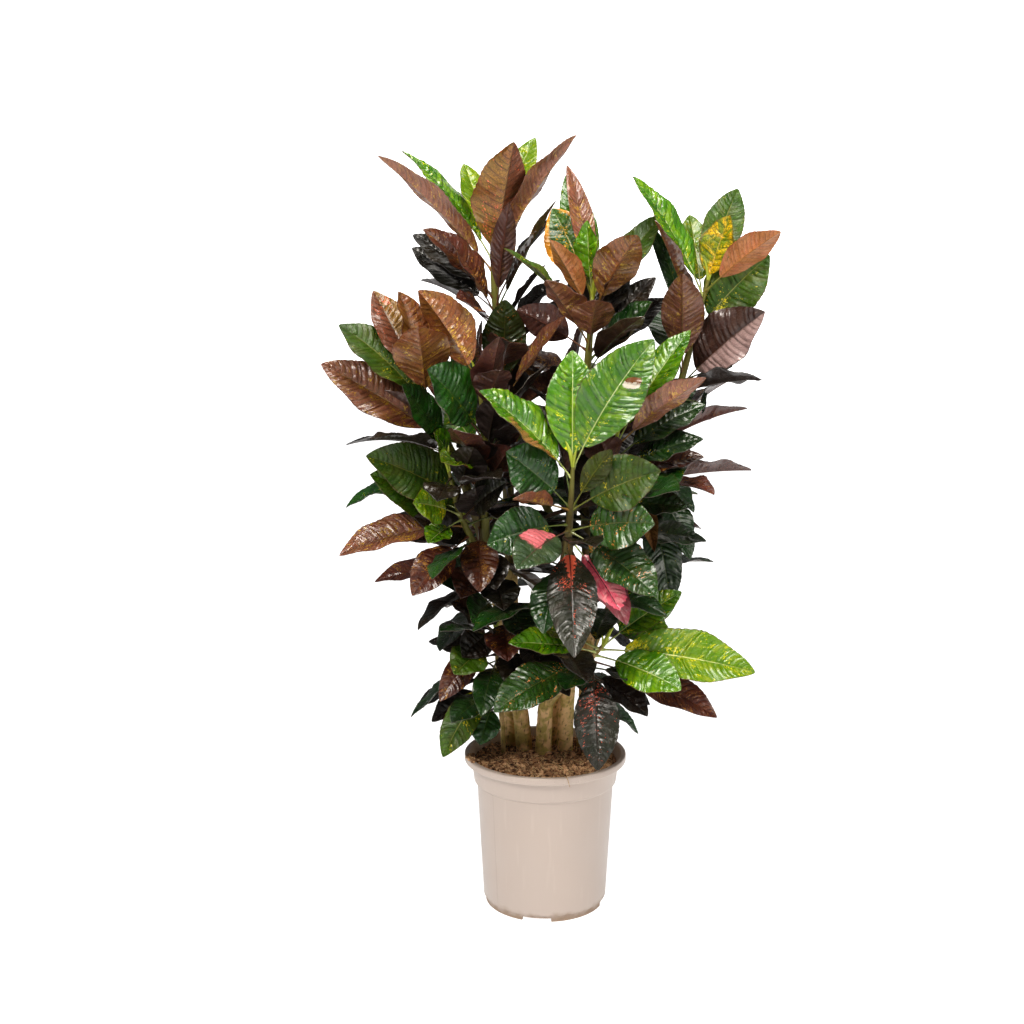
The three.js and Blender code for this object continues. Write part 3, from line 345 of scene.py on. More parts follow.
TOP_MIDDLE_SHOOT = Stem(
    points=(
        (12, 54, 155), (12, 54, 240), (18, 54, 360), (28, 46, 480), (40, 32, 600), (50, 16, 700),
        (58, 2, 800), (64, -6, 890),
    ),
    radii=(12, 11.5, 10.5, 9, 8, 7, 5.5, 2.6),
    spiral=Spiral(
        12, 440, 830, 10, (-15, 50), (125, 155), 62, (Kind.BLACK, Kind.DEEP, Kind.MAROON)
    ),
    leaves=(
        Row(890, 28, 40, 1075, 34, 20, -30, Kind.COPPER, Kind.MAUVE),
        Row(887, 2, 50, 1007, 72, 12, -56, Kind.GOLD, Kind.EMBER),
        Row(865, 3, -45, 969, 42, 10, 20, Kind.COPPER, Kind.SPICE),
        Row(885, 69, 0, 997, 47, 8, 0, Kind.GREEN),
        Row(865, 111, -50, 988, 68, 12, -35, Kind.COPPER),
        Row(868, 166, 40, 1007, 57, 15, 30, Kind.GREEN, Kind.MOSS),
        Row(850, -48, 0, 977, 53, 15, -20, Kind.GREEN, Kind.MOSS),
        Row(875, -13, 70, 1053, 53, 15, -20, Kind.GREEN),
        Row(825, 8, -70, 918, 68, 10, 0, Kind.MAROON, Kind.MAUVE),
        Row(815, 64, -80, 889, 64, 10, 0, Kind.MAROON, Kind.MAUVE),
        Row(740, 15, -80, 800, 60, 15, 0, Kind.BLACK),
        Row(720, 95, -85, 790, 60, 15, 20, Kind.BLACK),
        Row(700, 50, -115, 745, 62, 20, 0, Kind.MAROON),
        Row(690, -25, -60, 770, 56, 15, -20, Kind.BLACK),
        Row(760, 125, -50, 822, 58, 15, 20, Kind.DEEP),
        Row(855, 106, -15, 940, 50, 15, 20, Kind.MAROON),
        Row(810, 153, 10, 919, 50, 10, 50, Kind.BLACK),
        Row(835, 127, 30, 911, 47, 15, 20, Kind.BLACK),
        Row(800, 150, -30, 881, 57, 12, 45, Kind.DEEP),
        Row(800, 175, 80, 889, 53, 12, 30, Kind.BLACK),
        Row(815, -42, 0, 876, 56, 15, 75, Kind.MAROON),
    ),
)
BACK_SHOOT = Stem(
    points=(
        (60, 44, 155), (60, 44, 240), (64, 58, 350), (66, 78, 450), (62, 94, 550), (54, 104, 640),
        (48, 110, 715),
    ),
    radii=(12, 11.5, 10.5, 9, 7.5, 5.5, 2.6),
    spiral=Spiral(
        11, 540, 708, 90, (-20, 68), (130, 165), 66,
        (Kind.GREEN, Kind.DEEP, Kind.COPPER, Kind.MAROON),
    ),
)
BACK_LEFT_SHOOT = Stem(
    points=((66, 78, 450), (22, 94, 540), (-18, 104, 620), (-44, 110, 700)),
    radii=(7, 6, 5, 2.6),
    spiral=Spiral(
        11, 540, 692, 150, (-20, 68), (130, 165), 66,
        (Kind.COPPER, Kind.DEEP, Kind.GREEN, Kind.BLACK),
    ),
)
BACK_RIGHT_SHOOT = Stem(
    points=((64, 58, 350), (94, 74, 420), (118, 86, 480), (132, 92, 536)),
    radii=(6.5, 5.5, 4.5, 2.6),
    spiral=Spiral(
        10, 390, 530, 20, (-35, 60), (125, 150), 62, (Kind.DEEP, Kind.GREEN, Kind.BLACK)
    ),
)
THIN_SHOOT = Stem(
    points=((-62, 6, 175), (-62, 6, 240), (-66, -4, 300), (-70, -14, 360), (-72, -22, 418)),
    radii=(3.6, 3.6, 3.4, 3.2, 2.2),
    spiral=Spiral(7, 300, 410, 100, (-25, 30), (95, 120), 46, (Kind.BLACK, Kind.DEEP)),
    leaves=(
        Row(350, -148, -60, 239, 52, 25, -40, Kind.DEEP, Kind.MOSS),
        Row(345, -192, 0, 292, 42, 30, -20, Kind.BLACK),
        Row(405, -151, -80, 328, 42, 35, -60, Kind.PINK, Kind.MAROON),
        Row(396, -132, -90, 380, 59, 25, -30, Kind.GREEN, Kind.MOSS),
        Row(410, -100, -90, 446, 59, 20, -30, Kind.BLACK),
        Row(330, -166, -20, 279, 47, 25, -30, Kind.BLACK),
        Row(380, -130, -60, 369, 42, 20, -20, Kind.BLACK),
        Row(325, -95, -50, 254, 47, 20, -20, Kind.DEEP),
        Row(412, -142, -40, 466, 52, 20, -30, Kind.MAROON),
    ),
)

CANES = (
    Cane("cane_front", (GREEN_ROSETTE, LOW_RIGHT_SHOOT)),
    Cane("cane_right", (TOP_RIGHT_SHOOT, RIGHT_FRONT_SHOOT, RIGHT_SIDE_SHOOT)),
    Cane("cane_left", (COPPER_SHOOT, LOW_LEFT_SHOOT, INNER_LEFT_SHOOT)),
    Cane("cane_tall", (TOP_LEFT_SHOOT, LOW_BACK_SHOOT)),
    Cane("cane_middle", (TOP_MIDDLE_SHOOT,)),
    Cane("cane_back", (BACK_SHOOT, BACK_LEFT_SHOOT, BACK_RIGHT_SHOOT)),
    Cane("cane_thin", (THIN_SHOOT,)),
)

# How the part's own leaves are shaped, and how they were bent clear of each other
PETIOLE = 30.0
GOLDEN_ANGLE = 137.508
WAVE_SHARE = 0.045
WAVES = 2.6
SIDE_PHASE = 1.9
WIDEST_POWER = 0.92
FULL_POWER = 0.8
TURN_STEP = 4.2
TURN_TRIES = 130
SHORTER = (1.0, 0.8)

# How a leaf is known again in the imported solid: more than LEAST of its points have a corner within
# FIT millimetres there, and the search ends at a place where SURE of them do
FIT = 0.06
LEAST = 2
SURE = 4
CHECKED_SHARES = (0.2, 0.3, 0.4, 0.5, 0.62, 0.7, 0.8, 0.83, 0.18)

# The fold of each kind's blade at its midrib, in degrees
FOLDS = {
    Kind.LIME: 16, Kind.GREEN: 13, Kind.DEEP: 8, Kind.COPPER: 20, Kind.MAROON: 17, Kind.BLACK: 14,
    Kind.FLECK: 9, Kind.BLUSH: 9, Kind.PINK: 12, Kind.GOLD: 11, Kind.DRY: 38,
}


@dataclass
class Dice:
    """The seeded generator that places the leaves, drawn in the same order at each run."""

    FACTOR = 48271
    MODULUS = 2147483647
    seed: int = 20417

    def draw(self) -> float:
        """Returns the next share from 0 to 1."""
        self.seed = (self.seed * self.FACTOR) % self.MODULUS
        return self.seed / self.MODULUS

    def between(self, low: float, high: float) -> float:
        """Returns the next value from low to high."""
        return low + (high - low) * self.draw()


class StemLine:
    """The smooth line of a stem and its radius along it."""

    STEPS = 120

    def __init__(self, stem: Stem) -> None:
        """Takes the stem's points and radii.

        Args:
            stem: the stem that this line follows.
        """
        inner = np.array(stem.points, float)
        first = 2 * inner[0] - inner[1]
        last = 2 * inner[-1] - inner[-2]
        self.knots = np.vstack([first, inner, last])
        self.radii = np.array(stem.radii, float)
        self.spans = len(inner) - 1

    def points(self, shares: np.ndarray) -> np.ndarray:
        """Gives points of the line.

        Args:
            shares: places along the line, from 0 to 1.

        Returns:
            One point for each share.
        """
        place = np.clip(shares, 0.0, 1.0) * self.spans
        span = np.minimum(place.astype(int), self.spans - 1)
        t = (place - span)[:, None]
        before, start, end, after = (self.knots[span + k] for k in range(4))
        leave, arrive = 0.5 * (end - before), 0.5 * (after - start)
        square = -3 * start + 3 * end - 2 * leave - arrive
        cube = 2 * start - 2 * end + leave + arrive
        return start + leave * t + square * t**2 + cube * t**3

    def radius(self, shares: np.ndarray) -> np.ndarray:
        """Returns the stem's radius at each share of its line."""
        return np.interp(shares * (len(self.radii) - 1), np.arange(len(self.radii)), self.radii)

    def at_height(self, height: float) -> tuple[np.ndarray, float]:
        """Finds the joint of a leaf.

        Args:
            height: the joint's height.

        Returns:
            The point on the line at that height and the stem's radius there.
        """
        line = self.points(np.arange(self.STEPS + 1) / self.STEPS)
        above = np.nonzero(line[1:, 2] >= height)[0]
        i = int(above[0]) + 1 if len(above) else self.STEPS
        share = min(1.0, (height - line[i - 1, 2]) / (line[i, 2] - line[i - 1, 2]))
        centre = line[i - 1] + (line[i] - line[i - 1]) * share
        return centre, float(self.radius(np.array([(i - 1 + share) / self.STEPS]))[0])


@dataclass
class Leaf:
    """One leaf: its joint, its direction, and the size and bend of its blade."""

    centre: np.ndarray
    radius: float
    azimuth: float
    rise: float
    chord: float
    width: float
    bend: float
    roll: float
    kind: Kind
    look: Kind
    hero: bool
    phase: float = 0.0

    def arc(self) -> float:
        """Returns the length of the bent midrib from the stem's axis to the tip."""
        half = math.radians(self.bend) / 2
        return self.chord * half / math.sin(half)

    def distance(self, share: np.ndarray) -> np.ndarray:
        """Returns the distance along the midrib at shares of the blade."""
        start = self.radius + PETIOLE
        return start + (self.arc() - start) * share

    def midrib(self, distance: np.ndarray) -> tuple[np.ndarray, np.ndarray, np.ndarray]:
        """Gives the midrib and the directions of the blade there.

        Args:
            distance: distances along the midrib from the stem's axis.

        Returns:
            The points, the directions across the blade, and those up out of it.
        """
        bend, arc = math.radians(self.bend), self.arc()
        first = self.rise + bend / 2
        rise = first - bend * distance / arc
        out = (arc / bend) * (math.sin(first) - np.sin(rise))
        up = (arc / bend) * (np.cos(rise) - math.cos(first))
        c, s = math.cos(self.azimuth), math.sin(self.azimuth)
        points = self.centre + np.stack([out * c, out * s, up], -1)
        flat = np.broadcast_to(np.array([-s, c, 0.0]), points.shape)
        lift = np.stack([-np.sin(rise) * c, -np.sin(rise) * s, np.cos(rise)], -1)
        roll = (math.radians(self.roll) * np.minimum(1.0, distance / PETIOLE))[..., None]
        across = flat * np.cos(roll) + lift * np.sin(roll)
        normal = lift * np.cos(roll) - flat * np.sin(roll)
        return points, across, normal

    def half_width(self, share: np.ndarray) -> np.ndarray:
        """Returns half the blade's width at shares of its length."""
        full = np.clip(np.sin(np.pi * np.clip(share, 0.0, 1.0) ** WIDEST_POWER), 0.0, 1.0)
        return self.width / 2 * full**FULL_POWER

    def wave(self, share: np.ndarray, side: np.ndarray) -> np.ndarray:
        """Returns how far the waved edge stands up, at shares of the length, on side 0 or 1."""
        turn = 2 * np.pi * WAVES * share + self.phase + side * SIDE_PHASE
        return WAVE_SHARE * self.width * np.sin(turn) * np.sin(np.pi * share)

    def marks(self) -> np.ndarray:
        """Gives points that the leaf's solid has where it is in this place.

        Returns:
            The tip, and points of both edges.
        """
        shares = np.array(CHECKED_SHARES)
        middle, across, normal = self.midrib(self.distance(shares))
        fold = math.radians(FOLDS[self.kind])
        half = self.half_width(shares)
        points = [self.midrib(np.array([self.arc()]))[0]]
        for side, way in ((0, 1), (1, -1)):
            high = half * math.sin(fold) + self.wave(shares, np.full(len(shares), side))
            flat = way * half * math.cos(fold)
            points.append(middle + across * flat[:, None] + normal * high[:, None])
        return np.vstack(points)


class Growth:
    """All leaves of the plant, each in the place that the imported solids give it."""

    TURN_PLAY = 12
    RISE_PLAY = 8
    ROLL_PLAY = 26
    LENGTH_SHARE = 0.86
    WIDTH_SHARES = (0.85, 1.12)
    BENDS = (14, 44)

    def __init__(self, canes: Sequence[Cane], nodes: dict[str, bpy.types.Object]) -> None:
        """Draws the leaves and finds their places.

        Args:
            canes: the rooted canes.
            nodes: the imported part's nodes by name.
        """
        self.dice = Dice()
        self.leaves: dict[str, list[Leaf]] = {cane.node: [] for cane in canes}
        corners = {cane.node: self.corners(nodes[cane.node]) for cane in canes}
        wishes = [(c, leaf) for c in canes for s in c.stems for leaf in self.stated(s)]
        wishes += [(c, leaf) for c in canes for s in c.stems for leaf in self.spiral(s)]
        for cane, wish in wishes:
            wish.phase = 2 * math.pi * self.dice.draw()
            leaf = self.settled(wish, corners[cane.node])
            if leaf:
                self.leaves[cane.node].append(leaf)

    @staticmethod
    def corners(node: bpy.types.Object) -> KDTree:
        """Gathers a node's corners.

        Args:
            node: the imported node.

        Returns:
            A tree of its corners, in millimetres.
        """
        tree = KDTree(len(node.data.vertices))
        for vertex in node.data.vertices:
            tree.insert(vertex.co / MM, vertex.index)
        tree.balance()
        return tree

    @staticmethod
    def stated(stem: Stem) -> list[Leaf]:
        """Makes the leaves with a stated tip.

        Args:
            stem: the stem that bears them.

        Returns:
            The leaves as they are wished for.
        """
        line, leaves = StemLine(stem), []
        for row in stem.leaves:
            centre, radius = line.at_height(row.height)
            dx, dy, dz = np.array([row.x, row.y, row.z]) - centre
            flat = math.hypot(dx, dy)
            azimuth, rise, chord = math.atan2(dy, dx), math.atan2(dz, flat), math.hypot(flat, dz)
            shape = (azimuth, rise, chord, row.width, row.bend, row.roll)
            leaves.append(Leaf(centre, radius, *shape, row.kind, row.look or row.kind, True))
        return leaves

    def spiral(self, stem: Stem) -> list[Leaf]:
        """Draws the other leaves of a stem round its axis.

        Args:
            stem: the stem that bears them.

        Returns:
            The leaves as they are wished for.
        """
        line, rule, leaves, between = StemLine(stem), stem.spiral, [], self.dice.between
        for i in range(rule.count):
            share = (i + 0.5) / rule.count
            centre, radius = line.at_height(rule.low + (rule.high - rule.low) * share)
            turn = rule.start + GOLDEN_ANGLE * i + between(-self.TURN_PLAY, self.TURN_PLAY)
            rise = rule.rise[0] + (rule.rise[1] - rule.rise[0]) * share
            rise += between(-self.RISE_PLAY, self.RISE_PLAY)
            chord = radius + PETIOLE + between(*rule.length) * self.LENGTH_SHARE
            width = rule.width * between(*self.WIDTH_SHARES)
            bend, roll = between(*self.BENDS), between(-self.ROLL_PLAY, self.ROLL_PLAY)
            kind = rule.kinds[int(self.dice.draw() * len(rule.kinds))]
            shape = (math.radians(turn), math.radians(rise), chord, width, bend, roll)
            leaves.append(Leaf(centre, radius, *shape, kind, kind, False))
        return leaves

    @staticmethod
    def settled(wish: Leaf, corners: KDTree) -> Leaf | None:
        """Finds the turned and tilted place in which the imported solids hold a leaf.

        Args:
            wish: the leaf before it was bent clear of the others.
            corners: the corners of its cane's solid.

        Returns:
            The leaf in its place, or None where the part has left it out.
        """
        best, most = None, LEAST
        for scale in SHORTER:
            for i in range(TURN_TRIES):
                size = math.radians(TURN_STEP * math.sqrt(i))
                turn = math.radians(GOLDEN_ANGLE * i)
                leaf = replace(
                    wish,
                    chord=wish.chord * scale,
                    azimuth=wish.azimuth + size * math.cos(turn),
                    rise=wish.rise + size * math.sin(turn),
                )
                found = sum(corners.find(p)[2] < FIT for p in leaf.marks())
                if found > most:
                    best, most = leaf, found
                if most >= SURE:
                    return best
        return best


@dataclass
class Shell:
    """Gathers the points, faces and marks of one object before it is made."""

    points: list[np.ndarray] = field(default_factory=list)
    faces: list[np.ndarray] = field(default_factory=list)
    slots: list[np.ndarray] = field(default_factory=list)
    blade: list[np.ndarray] = field(default_factory=list)
    spot: list[np.ndarray] = field(default_factory=list)
    count: int = 0

    def add(
        self,
        points: np.ndarray,
        faces: np.ndarray,
        slot: int = 0,
        blade: np.ndarray | None = None,
        spot: np.ndarray | None = None,
    ) -> None:
        """Adds one closed skin.

        Args:
            points: its points in millimetres.
            faces: its four-sided faces, where a triangle repeats its last point.
            slot: the number of its material.
            blade: a mark of three numbers for each point.
            spot: another mark of three numbers for each point.
        """
        none = np.zeros((len(points), 3))
        self.points.append(points)
        self.faces.append(faces + self.count)
        self.slots.append(np.full(len(faces), slot))
        self.blade.append(none if blade is None else blade)
        self.spot.append(none if spot is None else spot)
        self.count += len(points)

    def build(
        self, name: str, materials: Sequence[bpy.types.Material], crease: float = 50.0
    ) -> bpy.types.Object:
        """Makes the object.

        Args:
            name: the object's name.
            materials: its materials, in the order of the slots.
            crease: the angle in degrees from which an edge is sharp.

        Returns:
            The object, linked to the scene.
        """
        faces, slots = np.vstack(self.faces), np.concatenate(self.slots)
        thin = faces[:, 2] == faces[:, 3]
        faces = np.vstack([faces[~thin], faces[thin]])
        slots = np.concatenate([slots[~thin], slots[thin]])
        sizes = np.where(faces[:, 2] == faces[:, 3], 3, 4)
        keep = np.ones(faces.shape, bool)
        keep[sizes == 3, 3] = False
        corners = faces[keep]
        starts = np.concatenate([[0], np.cumsum(sizes)[:-1]])
        mesh = bpy.data.meshes.new(name)
        mesh.vertices.add(self.count)
        mesh.loops.add(len(corners))
        mesh.polygons.add(len(faces))
        points = (np.vstack(self.points) * MM).astype(np.float32)
        mesh.vertices.foreach_set("co", points.ravel())
        mesh.loops.foreach_set("vertex_index", corners.astype(np.int32))
        mesh.polygons.foreach_set("loop_start", starts.astype(np.int32))
        for material in materials:
            mesh.materials.append(material)
        mesh.polygons.foreach_set("material_index", slots.astype(np.int32))
        mesh.update(calc_edges=True)
        for label, marks in (("blade", self.blade), ("spot", self.spot)):
            layer = mesh.attributes.new(label, "FLOAT_VECTOR", "POINT")
            layer.data.foreach_set("vector", np.vstack(marks).astype(np.float32).ravel())
        mesh.shade_smooth()
        mesh.set_sharp_from_angle(angle=math.radians(crease))
        piece = bpy.data.objects.new(name, mesh)
        bpy.context.scene.collection.objects.link(piece)
        return piece


def around(sides: int) -> np.ndarray:
    """Returns the angles of evenly spaced points of a ring."""
    return 2 * np.pi * np.arange(sides) / sides


def level_ring(radius: float, z: float, turn: np.ndarray) -> np.ndarray:
    """Returns the points of a level ring at the given angles."""
    return np.stack([radius * np.cos(turn), radius * np.sin(turn), np.full(len(turn), z)], -1)


def grid_faces(rows: int, columns: int, closed: bool) -> np.ndarray:
    """Gives the faces of a grid of points.

    Args:
        rows: how many rows of points it has.
        columns: how many points each row has.
        closed: whether the last point of a row is joined to its first.

    Returns:
        The four-sided faces.
    """
    i, k = np.meshgrid(np.arange(rows - 1), np.arange(columns - (not closed)), indexing="ij")
    a = (i * columns + k).ravel()
    b = (i * columns + (k + 1) % columns).ravel()
    return np.stack([a, b, b + columns, a + columns], -1)


def closed_faces(rows: int, sides: int) -> np.ndarray:
    """Gives the faces of a closed skin of rings, with a middle point at its foot and its top.

    Args:
        rows: how many rings of points it has. The two middle points follow the last one.
        sides: how many points each ring has.

    Returns:
        The four-sided faces, where a triangle repeats its last point.
    """
    ring = np.arange(sides)
    after = (ring + 1) % sides
    foot, last = np.full(sides, rows * sides), (rows - 1) * sides
    low = np.stack([after, ring, foot, foot], -1)
    high = np.stack([last + ring, last + after, foot + 1, foot + 1], -1)
    return np.vstack([grid_faces(rows, sides, True), low, high])


def tube(points: np.ndarray, radii: np.ndarray, sides: int) -> tuple[np.ndarray, np.ndarray]:
    """Makes a closed tube along a line.

    Args:
        points: the line's points, one row for each ring.
        radii: the radius of each ring, or of each point of each ring.
        sides: how many sides the tube has.

    Returns:
        The points and the faces, with a middle point at either end.
    """
    along = np.gradient(points, axis=0)
    along /= np.linalg.norm(along, axis=1)[:, None]
    steep = abs(along[:, 0]).max() < 0.9
    helper = np.array([1.0, 0.0, 0.0]) if steep else np.array([0.0, 1.0, 0.0])
    across = helper - along * (along @ helper)[:, None]
    across /= np.linalg.norm(across, axis=1)[:, None]
    third = np.cross(along, across)
    turn = around(sides)
    wide = radii if radii.ndim == 2 else np.repeat(radii[:, None], sides, axis=1)
    rings = (
        points[:, None]
        + across[:, None] * (wide * np.cos(turn))[..., None]
        + third[:, None] * (wide * np.sin(turn))[..., None]
    )
    skin = np.vstack([rings.reshape(-1, 3), points[:1], points[-1:]])
    return skin, closed_faces(len(points), sides)


def seat(piece: bpy.types.Object, slot: Slot, node: str | None = None) -> bpy.types.Object:
    """Lets a piece ride on the part.

    Args:
        piece: the object.
        slot: the material slot that it stands for; not used.
        node: the part's node that it stands for, if it stands for one.

    Returns:
        The piece.
    """
    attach(piece, "root")
    if node:
        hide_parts(node)
    return piece


@dataclass(frozen=True)
class Form:
    """How a leaf's blade is shaped: its arch, its quilting between the laterals and its ripple."""

    arch: float = 0.35
    quilt: float = 0.9
    spacing: float = 8.5
    ripple: float = 0.5
    bumps: float = 1.8


FORMS = {
    Kind.LIME: Form(arch=0.3, quilt=1.3, spacing=9.5, ripple=0.8),
    Kind.GREEN: Form(quilt=1.8, spacing=9.5, ripple=0.8, bumps=2.2),
    Kind.DEEP: Form(arch=0.4, quilt=1.5),
    Kind.COPPER: Form(arch=0.4, quilt=1.1, spacing=9.0, ripple=0.8),
    Kind.MAROON: Form(arch=0.4, quilt=1.2),
    Kind.BLACK: Form(arch=0.45, quilt=1.2),
    Kind.FLECK: Form(arch=0.45, quilt=1.3, spacing=9.0, bumps=2.4),
    Kind.BLUSH: Form(arch=0.4, quilt=1.1, spacing=8.0),
    Kind.PINK: Form(),
    Kind.GOLD: Form(arch=0.3, quilt=0.8, ripple=0.8),
    Kind.DRY: Form(arch=0.2, quilt=1.6, spacing=6.0, ripple=2.2),
    Kind.OLIVE: Form(arch=0.4, quilt=1.3, spacing=9.5, ripple=0.8),
    Kind.MAUVE: Form(arch=0.4, quilt=1.3, ripple=0.7),
    Kind.MOSS: Form(quilt=1.3, ripple=0.8),
    Kind.SPICE: Form(spacing=8.0),
    Kind.EMBER: Form(arch=0.3, quilt=1.1, ripple=1.0),
    Kind.MOTTLE: Form(arch=0.4, quilt=1.7, ripple=0.7),
    Kind.DUSK_LIT_HALF: Form(arch=0.4, quilt=1.4, spacing=9.0, ripple=0.7),
    Kind.BLAZE: Form(arch=0.45, quilt=0.65),
}
FORMS |= dict.fromkeys((Kind.SCORCH, Kind.CUFF), FORMS[Kind.GREEN])


class LeafSkin:
    """Makes the fine skin of leaves over the places of the part's own, in millimetres."""

    # The rows start just past the blade's foot, lean forward like the laterals and end at the tip
    FOOT = 0.012
    LENGTH = 0.984
    SLANT = 0.13
    SWEEP = 1.35
    UNEVEN = 0.16
    # Half the width of the blade's foot and tip, and how far the outline is scalloped
    FOOT_HALF = 1.1
    TIP_HALF = 0.25
    SCALLOP = 0.012
    # The quilts are full where the blade is this wide, and the edge's wave fades towards the rib
    FULL_HALF = 18.0
    SWELL_POWER = 0.85
    WAVE_POWER = 1.6
    # The blade's thickness, the rib under it and the groove over it
    BLADE = 0.75
    RIB_WIDTH = 1.2
    RIB_FOOT = 1.5
    RIB_TIP = 0.45
    GROOVE = 0.35
    # The stalk: its end on the blade, radius, flare at the stem, taper, and how far it sinks
    STALK_END = 0.07
    STALK = 1.45
    FLARE = 1.3
    FLARE_REACH = 4.5
    TAPER = 0.45
    SINK = 0.5
    # The columns of half a blade, for a leaf with a stated tip and for the others
    FINE_HALF = (0.055, 0.17, 0.32, 0.48, 0.64, 0.8, 0.94, 1.0)
    PLAIN_HALF = (0.15, 0.35, 0.6, 0.85, 1.0)

    def __init__(self, shell: Shell, seed: int) -> None:
        """Takes what gathers the skins of one cane's leaves, and seeds how they vary."""
        self.shell = shell
        self.random = np.random.default_rng(seed)

    def add(self, leaf: Leaf, slot: int) -> None:
        """Adds a leaf with its stalk.

        Args:
            leaf: the leaf in its place.
            slot: the number of its material.
        """
        tint = self.random.random()
        self.add_blade(leaf, slot, tint)
        self.add_stalk(leaf, slot, tint)

    def add_blade(self, leaf: Leaf, slot: int, tint: float) -> None:
        """Adds the blade as a thin closed skin whose rows follow the laterals.

        Args:
            leaf: the leaf in its place.
            slot: the number of its material.
            tint: a share from 0 to 1 that the finish varies with.
        """
        form = FORMS[leaf.look]
        laterals = max(6, round((leaf.arc() - leaf.radius - PETIOLE) / form.spacing))
        parts = 4 if leaf.hero else 3
        right = np.array(self.FINE_HALF if leaf.hero else self.PLAIN_HALF)
        columns = np.concatenate([-right[::-1], [0.0], right])
        phase = self.random.random(5) * 2 * np.pi
        even = np.linspace(0, 1, laterals * parts + 1)
        shift = np.sin(2.1 * laterals * even + phase[2]) + np.sin(1.3 * laterals * even + phase[3])
        uneven = even + self.UNEVEN / laterals * np.sin(np.pi * even) * shift
        s, v = np.meshgrid(self.FOOT + self.LENGTH * uneven, columns, indexing="ij")
        side, wide = (v < 0).astype(float), np.abs(v)
        share = s + self.SLANT * wide**self.SWEEP * (1 - (1 - s) ** 6) * (1 - s**5)
        points, across, normal = leaf.midrib(leaf.distance(share))
        least = self.FOOT_HALF * (1 - share) + self.TIP_HALF
        half = np.maximum(leaf.half_width(share), least)
        fold = math.radians(FOLDS[leaf.kind])
        count = even[:, None] * laterals + 0.5 * side
        swell = np.abs(np.sin(np.pi * count)) ** self.SWELL_POWER
        half = half * (1 + self.SCALLOP * (2 * swell - 1))
        quilts = self.quilting(form, laterals, count, side, wide, swell)
        high = half * math.sin(fold) * wide * (1 + form.arch * (1 - wide) * 2)
        high += leaf.wave(share, side) * wide**self.WAVE_POWER
        high += quilts * np.clip(half / self.FULL_HALF, 0, 1)
        high += form.ripple * np.sin(9 * share + phase[0]) * np.sin(3 * v + phase[1]) * wide
        dip = np.exp(-((v * half / self.RIB_WIDTH) ** 2))
        rib = dip * (self.RIB_FOOT * (1 - share) + self.RIB_TIP)
        flat = v * half * math.cos(fold)
        middle = points + across * flat[..., None]
        upper = middle + normal * (high + self.BLADE / 2 - self.GROOVE * dip)[..., None]
        lower = middle + normal * (high - self.BLADE / 2 - rib)[..., None]
        rows, width = s.shape
        top = grid_faces(rows, width, False)
        faces = [top, top[:, ::-1] + rows * width, *self.rim(rows, width)]
        blade = np.stack([count, v, np.full_like(v, tint)], -1).reshape(-1, 3)
        spot = np.stack([share, np.ones_like(v), wide * half], -1).reshape(-1, 3)
        spots = np.vstack([spot, spot * np.array([1.0, 0.0, 1.0])])
        skin = np.vstack([upper.reshape(-1, 3), lower.reshape(-1, 3)])
        self.shell.add(skin, np.vstack(faces), slot, np.vstack([blade, blade]), spots)

    def quilting(
        self,
        form: Form,
        laterals: int,
        count: np.ndarray,
        side: np.ndarray,
        wide: np.ndarray,
        swell: np.ndarray,
    ) -> np.ndarray:
        """Gives how the blade puffs up between the laterals, each cell a little otherwise.

        Args:
            form: the blade's form.
            laterals: how many laterals each half has.
            count: the place of each point along the row of laterals.
            side: 1 on the left half and 0 on the right.
            wide: the distance from the midrib, as a share of the half width.
            swell: 0 on a lateral and 1 between two.

        Returns:
            The rise at each point, in millimetres.
        """
        cell, half = np.floor(count).astype(int), side.astype(int)
        strong = self.random.uniform(0.3, 1.6, (laterals + 2, 2))[cell, half]
        turn = self.random.uniform(0, 1, (laterals + 2, 2))[cell, half]
        cross = 1 + 0.75 * np.sin(2 * np.pi * (form.bumps * wide + turn))
        reach = np.clip(wide / 0.14, 0, 1) * (0.3 + 0.7 * np.sqrt(1 - wide**2))
        return form.quilt * (swell * strong * cross - 0.45) * reach

    @staticmethod
    def rim(rows: int, columns: int) -> list[np.ndarray]:
        """Gives the faces that join the upper and the lower skin round a blade.

        Args:
            rows: how many rows of points each skin has.
            columns: how many points each row has.

        Returns:
            The faces of the two edges and the two ends.
        """
        shift = rows * columns
        down = np.arange(rows - 1) * columns
        left = np.stack([down, down + columns, down + columns + shift, down + shift], -1)
        right = left[:, ::-1] + columns - 1
        row = np.arange(columns - 1)
        foot = np.stack([row + 1, row, row + shift, row + 1 + shift], -1)
        tip = foot[:, ::-1] + (rows - 1) * columns
        return [left, right, foot, tip]

    def add_stalk(self, leaf: Leaf, slot: int, tint: float) -> None:
        """Adds the leaf's stalk, from inside the stem into the foot of the midrib.

        Args:
            leaf: the leaf in its place.
            slot: the number of its material.
            tint: a share from 0 to 1 that the finish varies with.
        """
        end = float(leaf.distance(np.array(self.STALK_END)))
        rings, sides = (11, 8) if leaf.hero else (7, 6)
        steps = np.linspace(0.0, end, rings)
        points, _, normal = leaf.midrib(steps)
        share = steps / end
        flare = self.FLARE * np.exp(-(((steps - leaf.radius) / self.FLARE_REACH) ** 2))
        radii = self.STALK + flare - self.TAPER * share
        skin, faces = tube(points - normal * (self.SINK * share[:, None]), radii, sides)
        along = np.concatenate([np.repeat(share, sides), [0.0, 1.0]])
        none = np.zeros_like(along)
        blade = np.stack([none, none, none + tint], -1)
        self.shell.add(skin, faces, slot, blade, np.stack([along - 1.0, none + 0.5, none], -1))


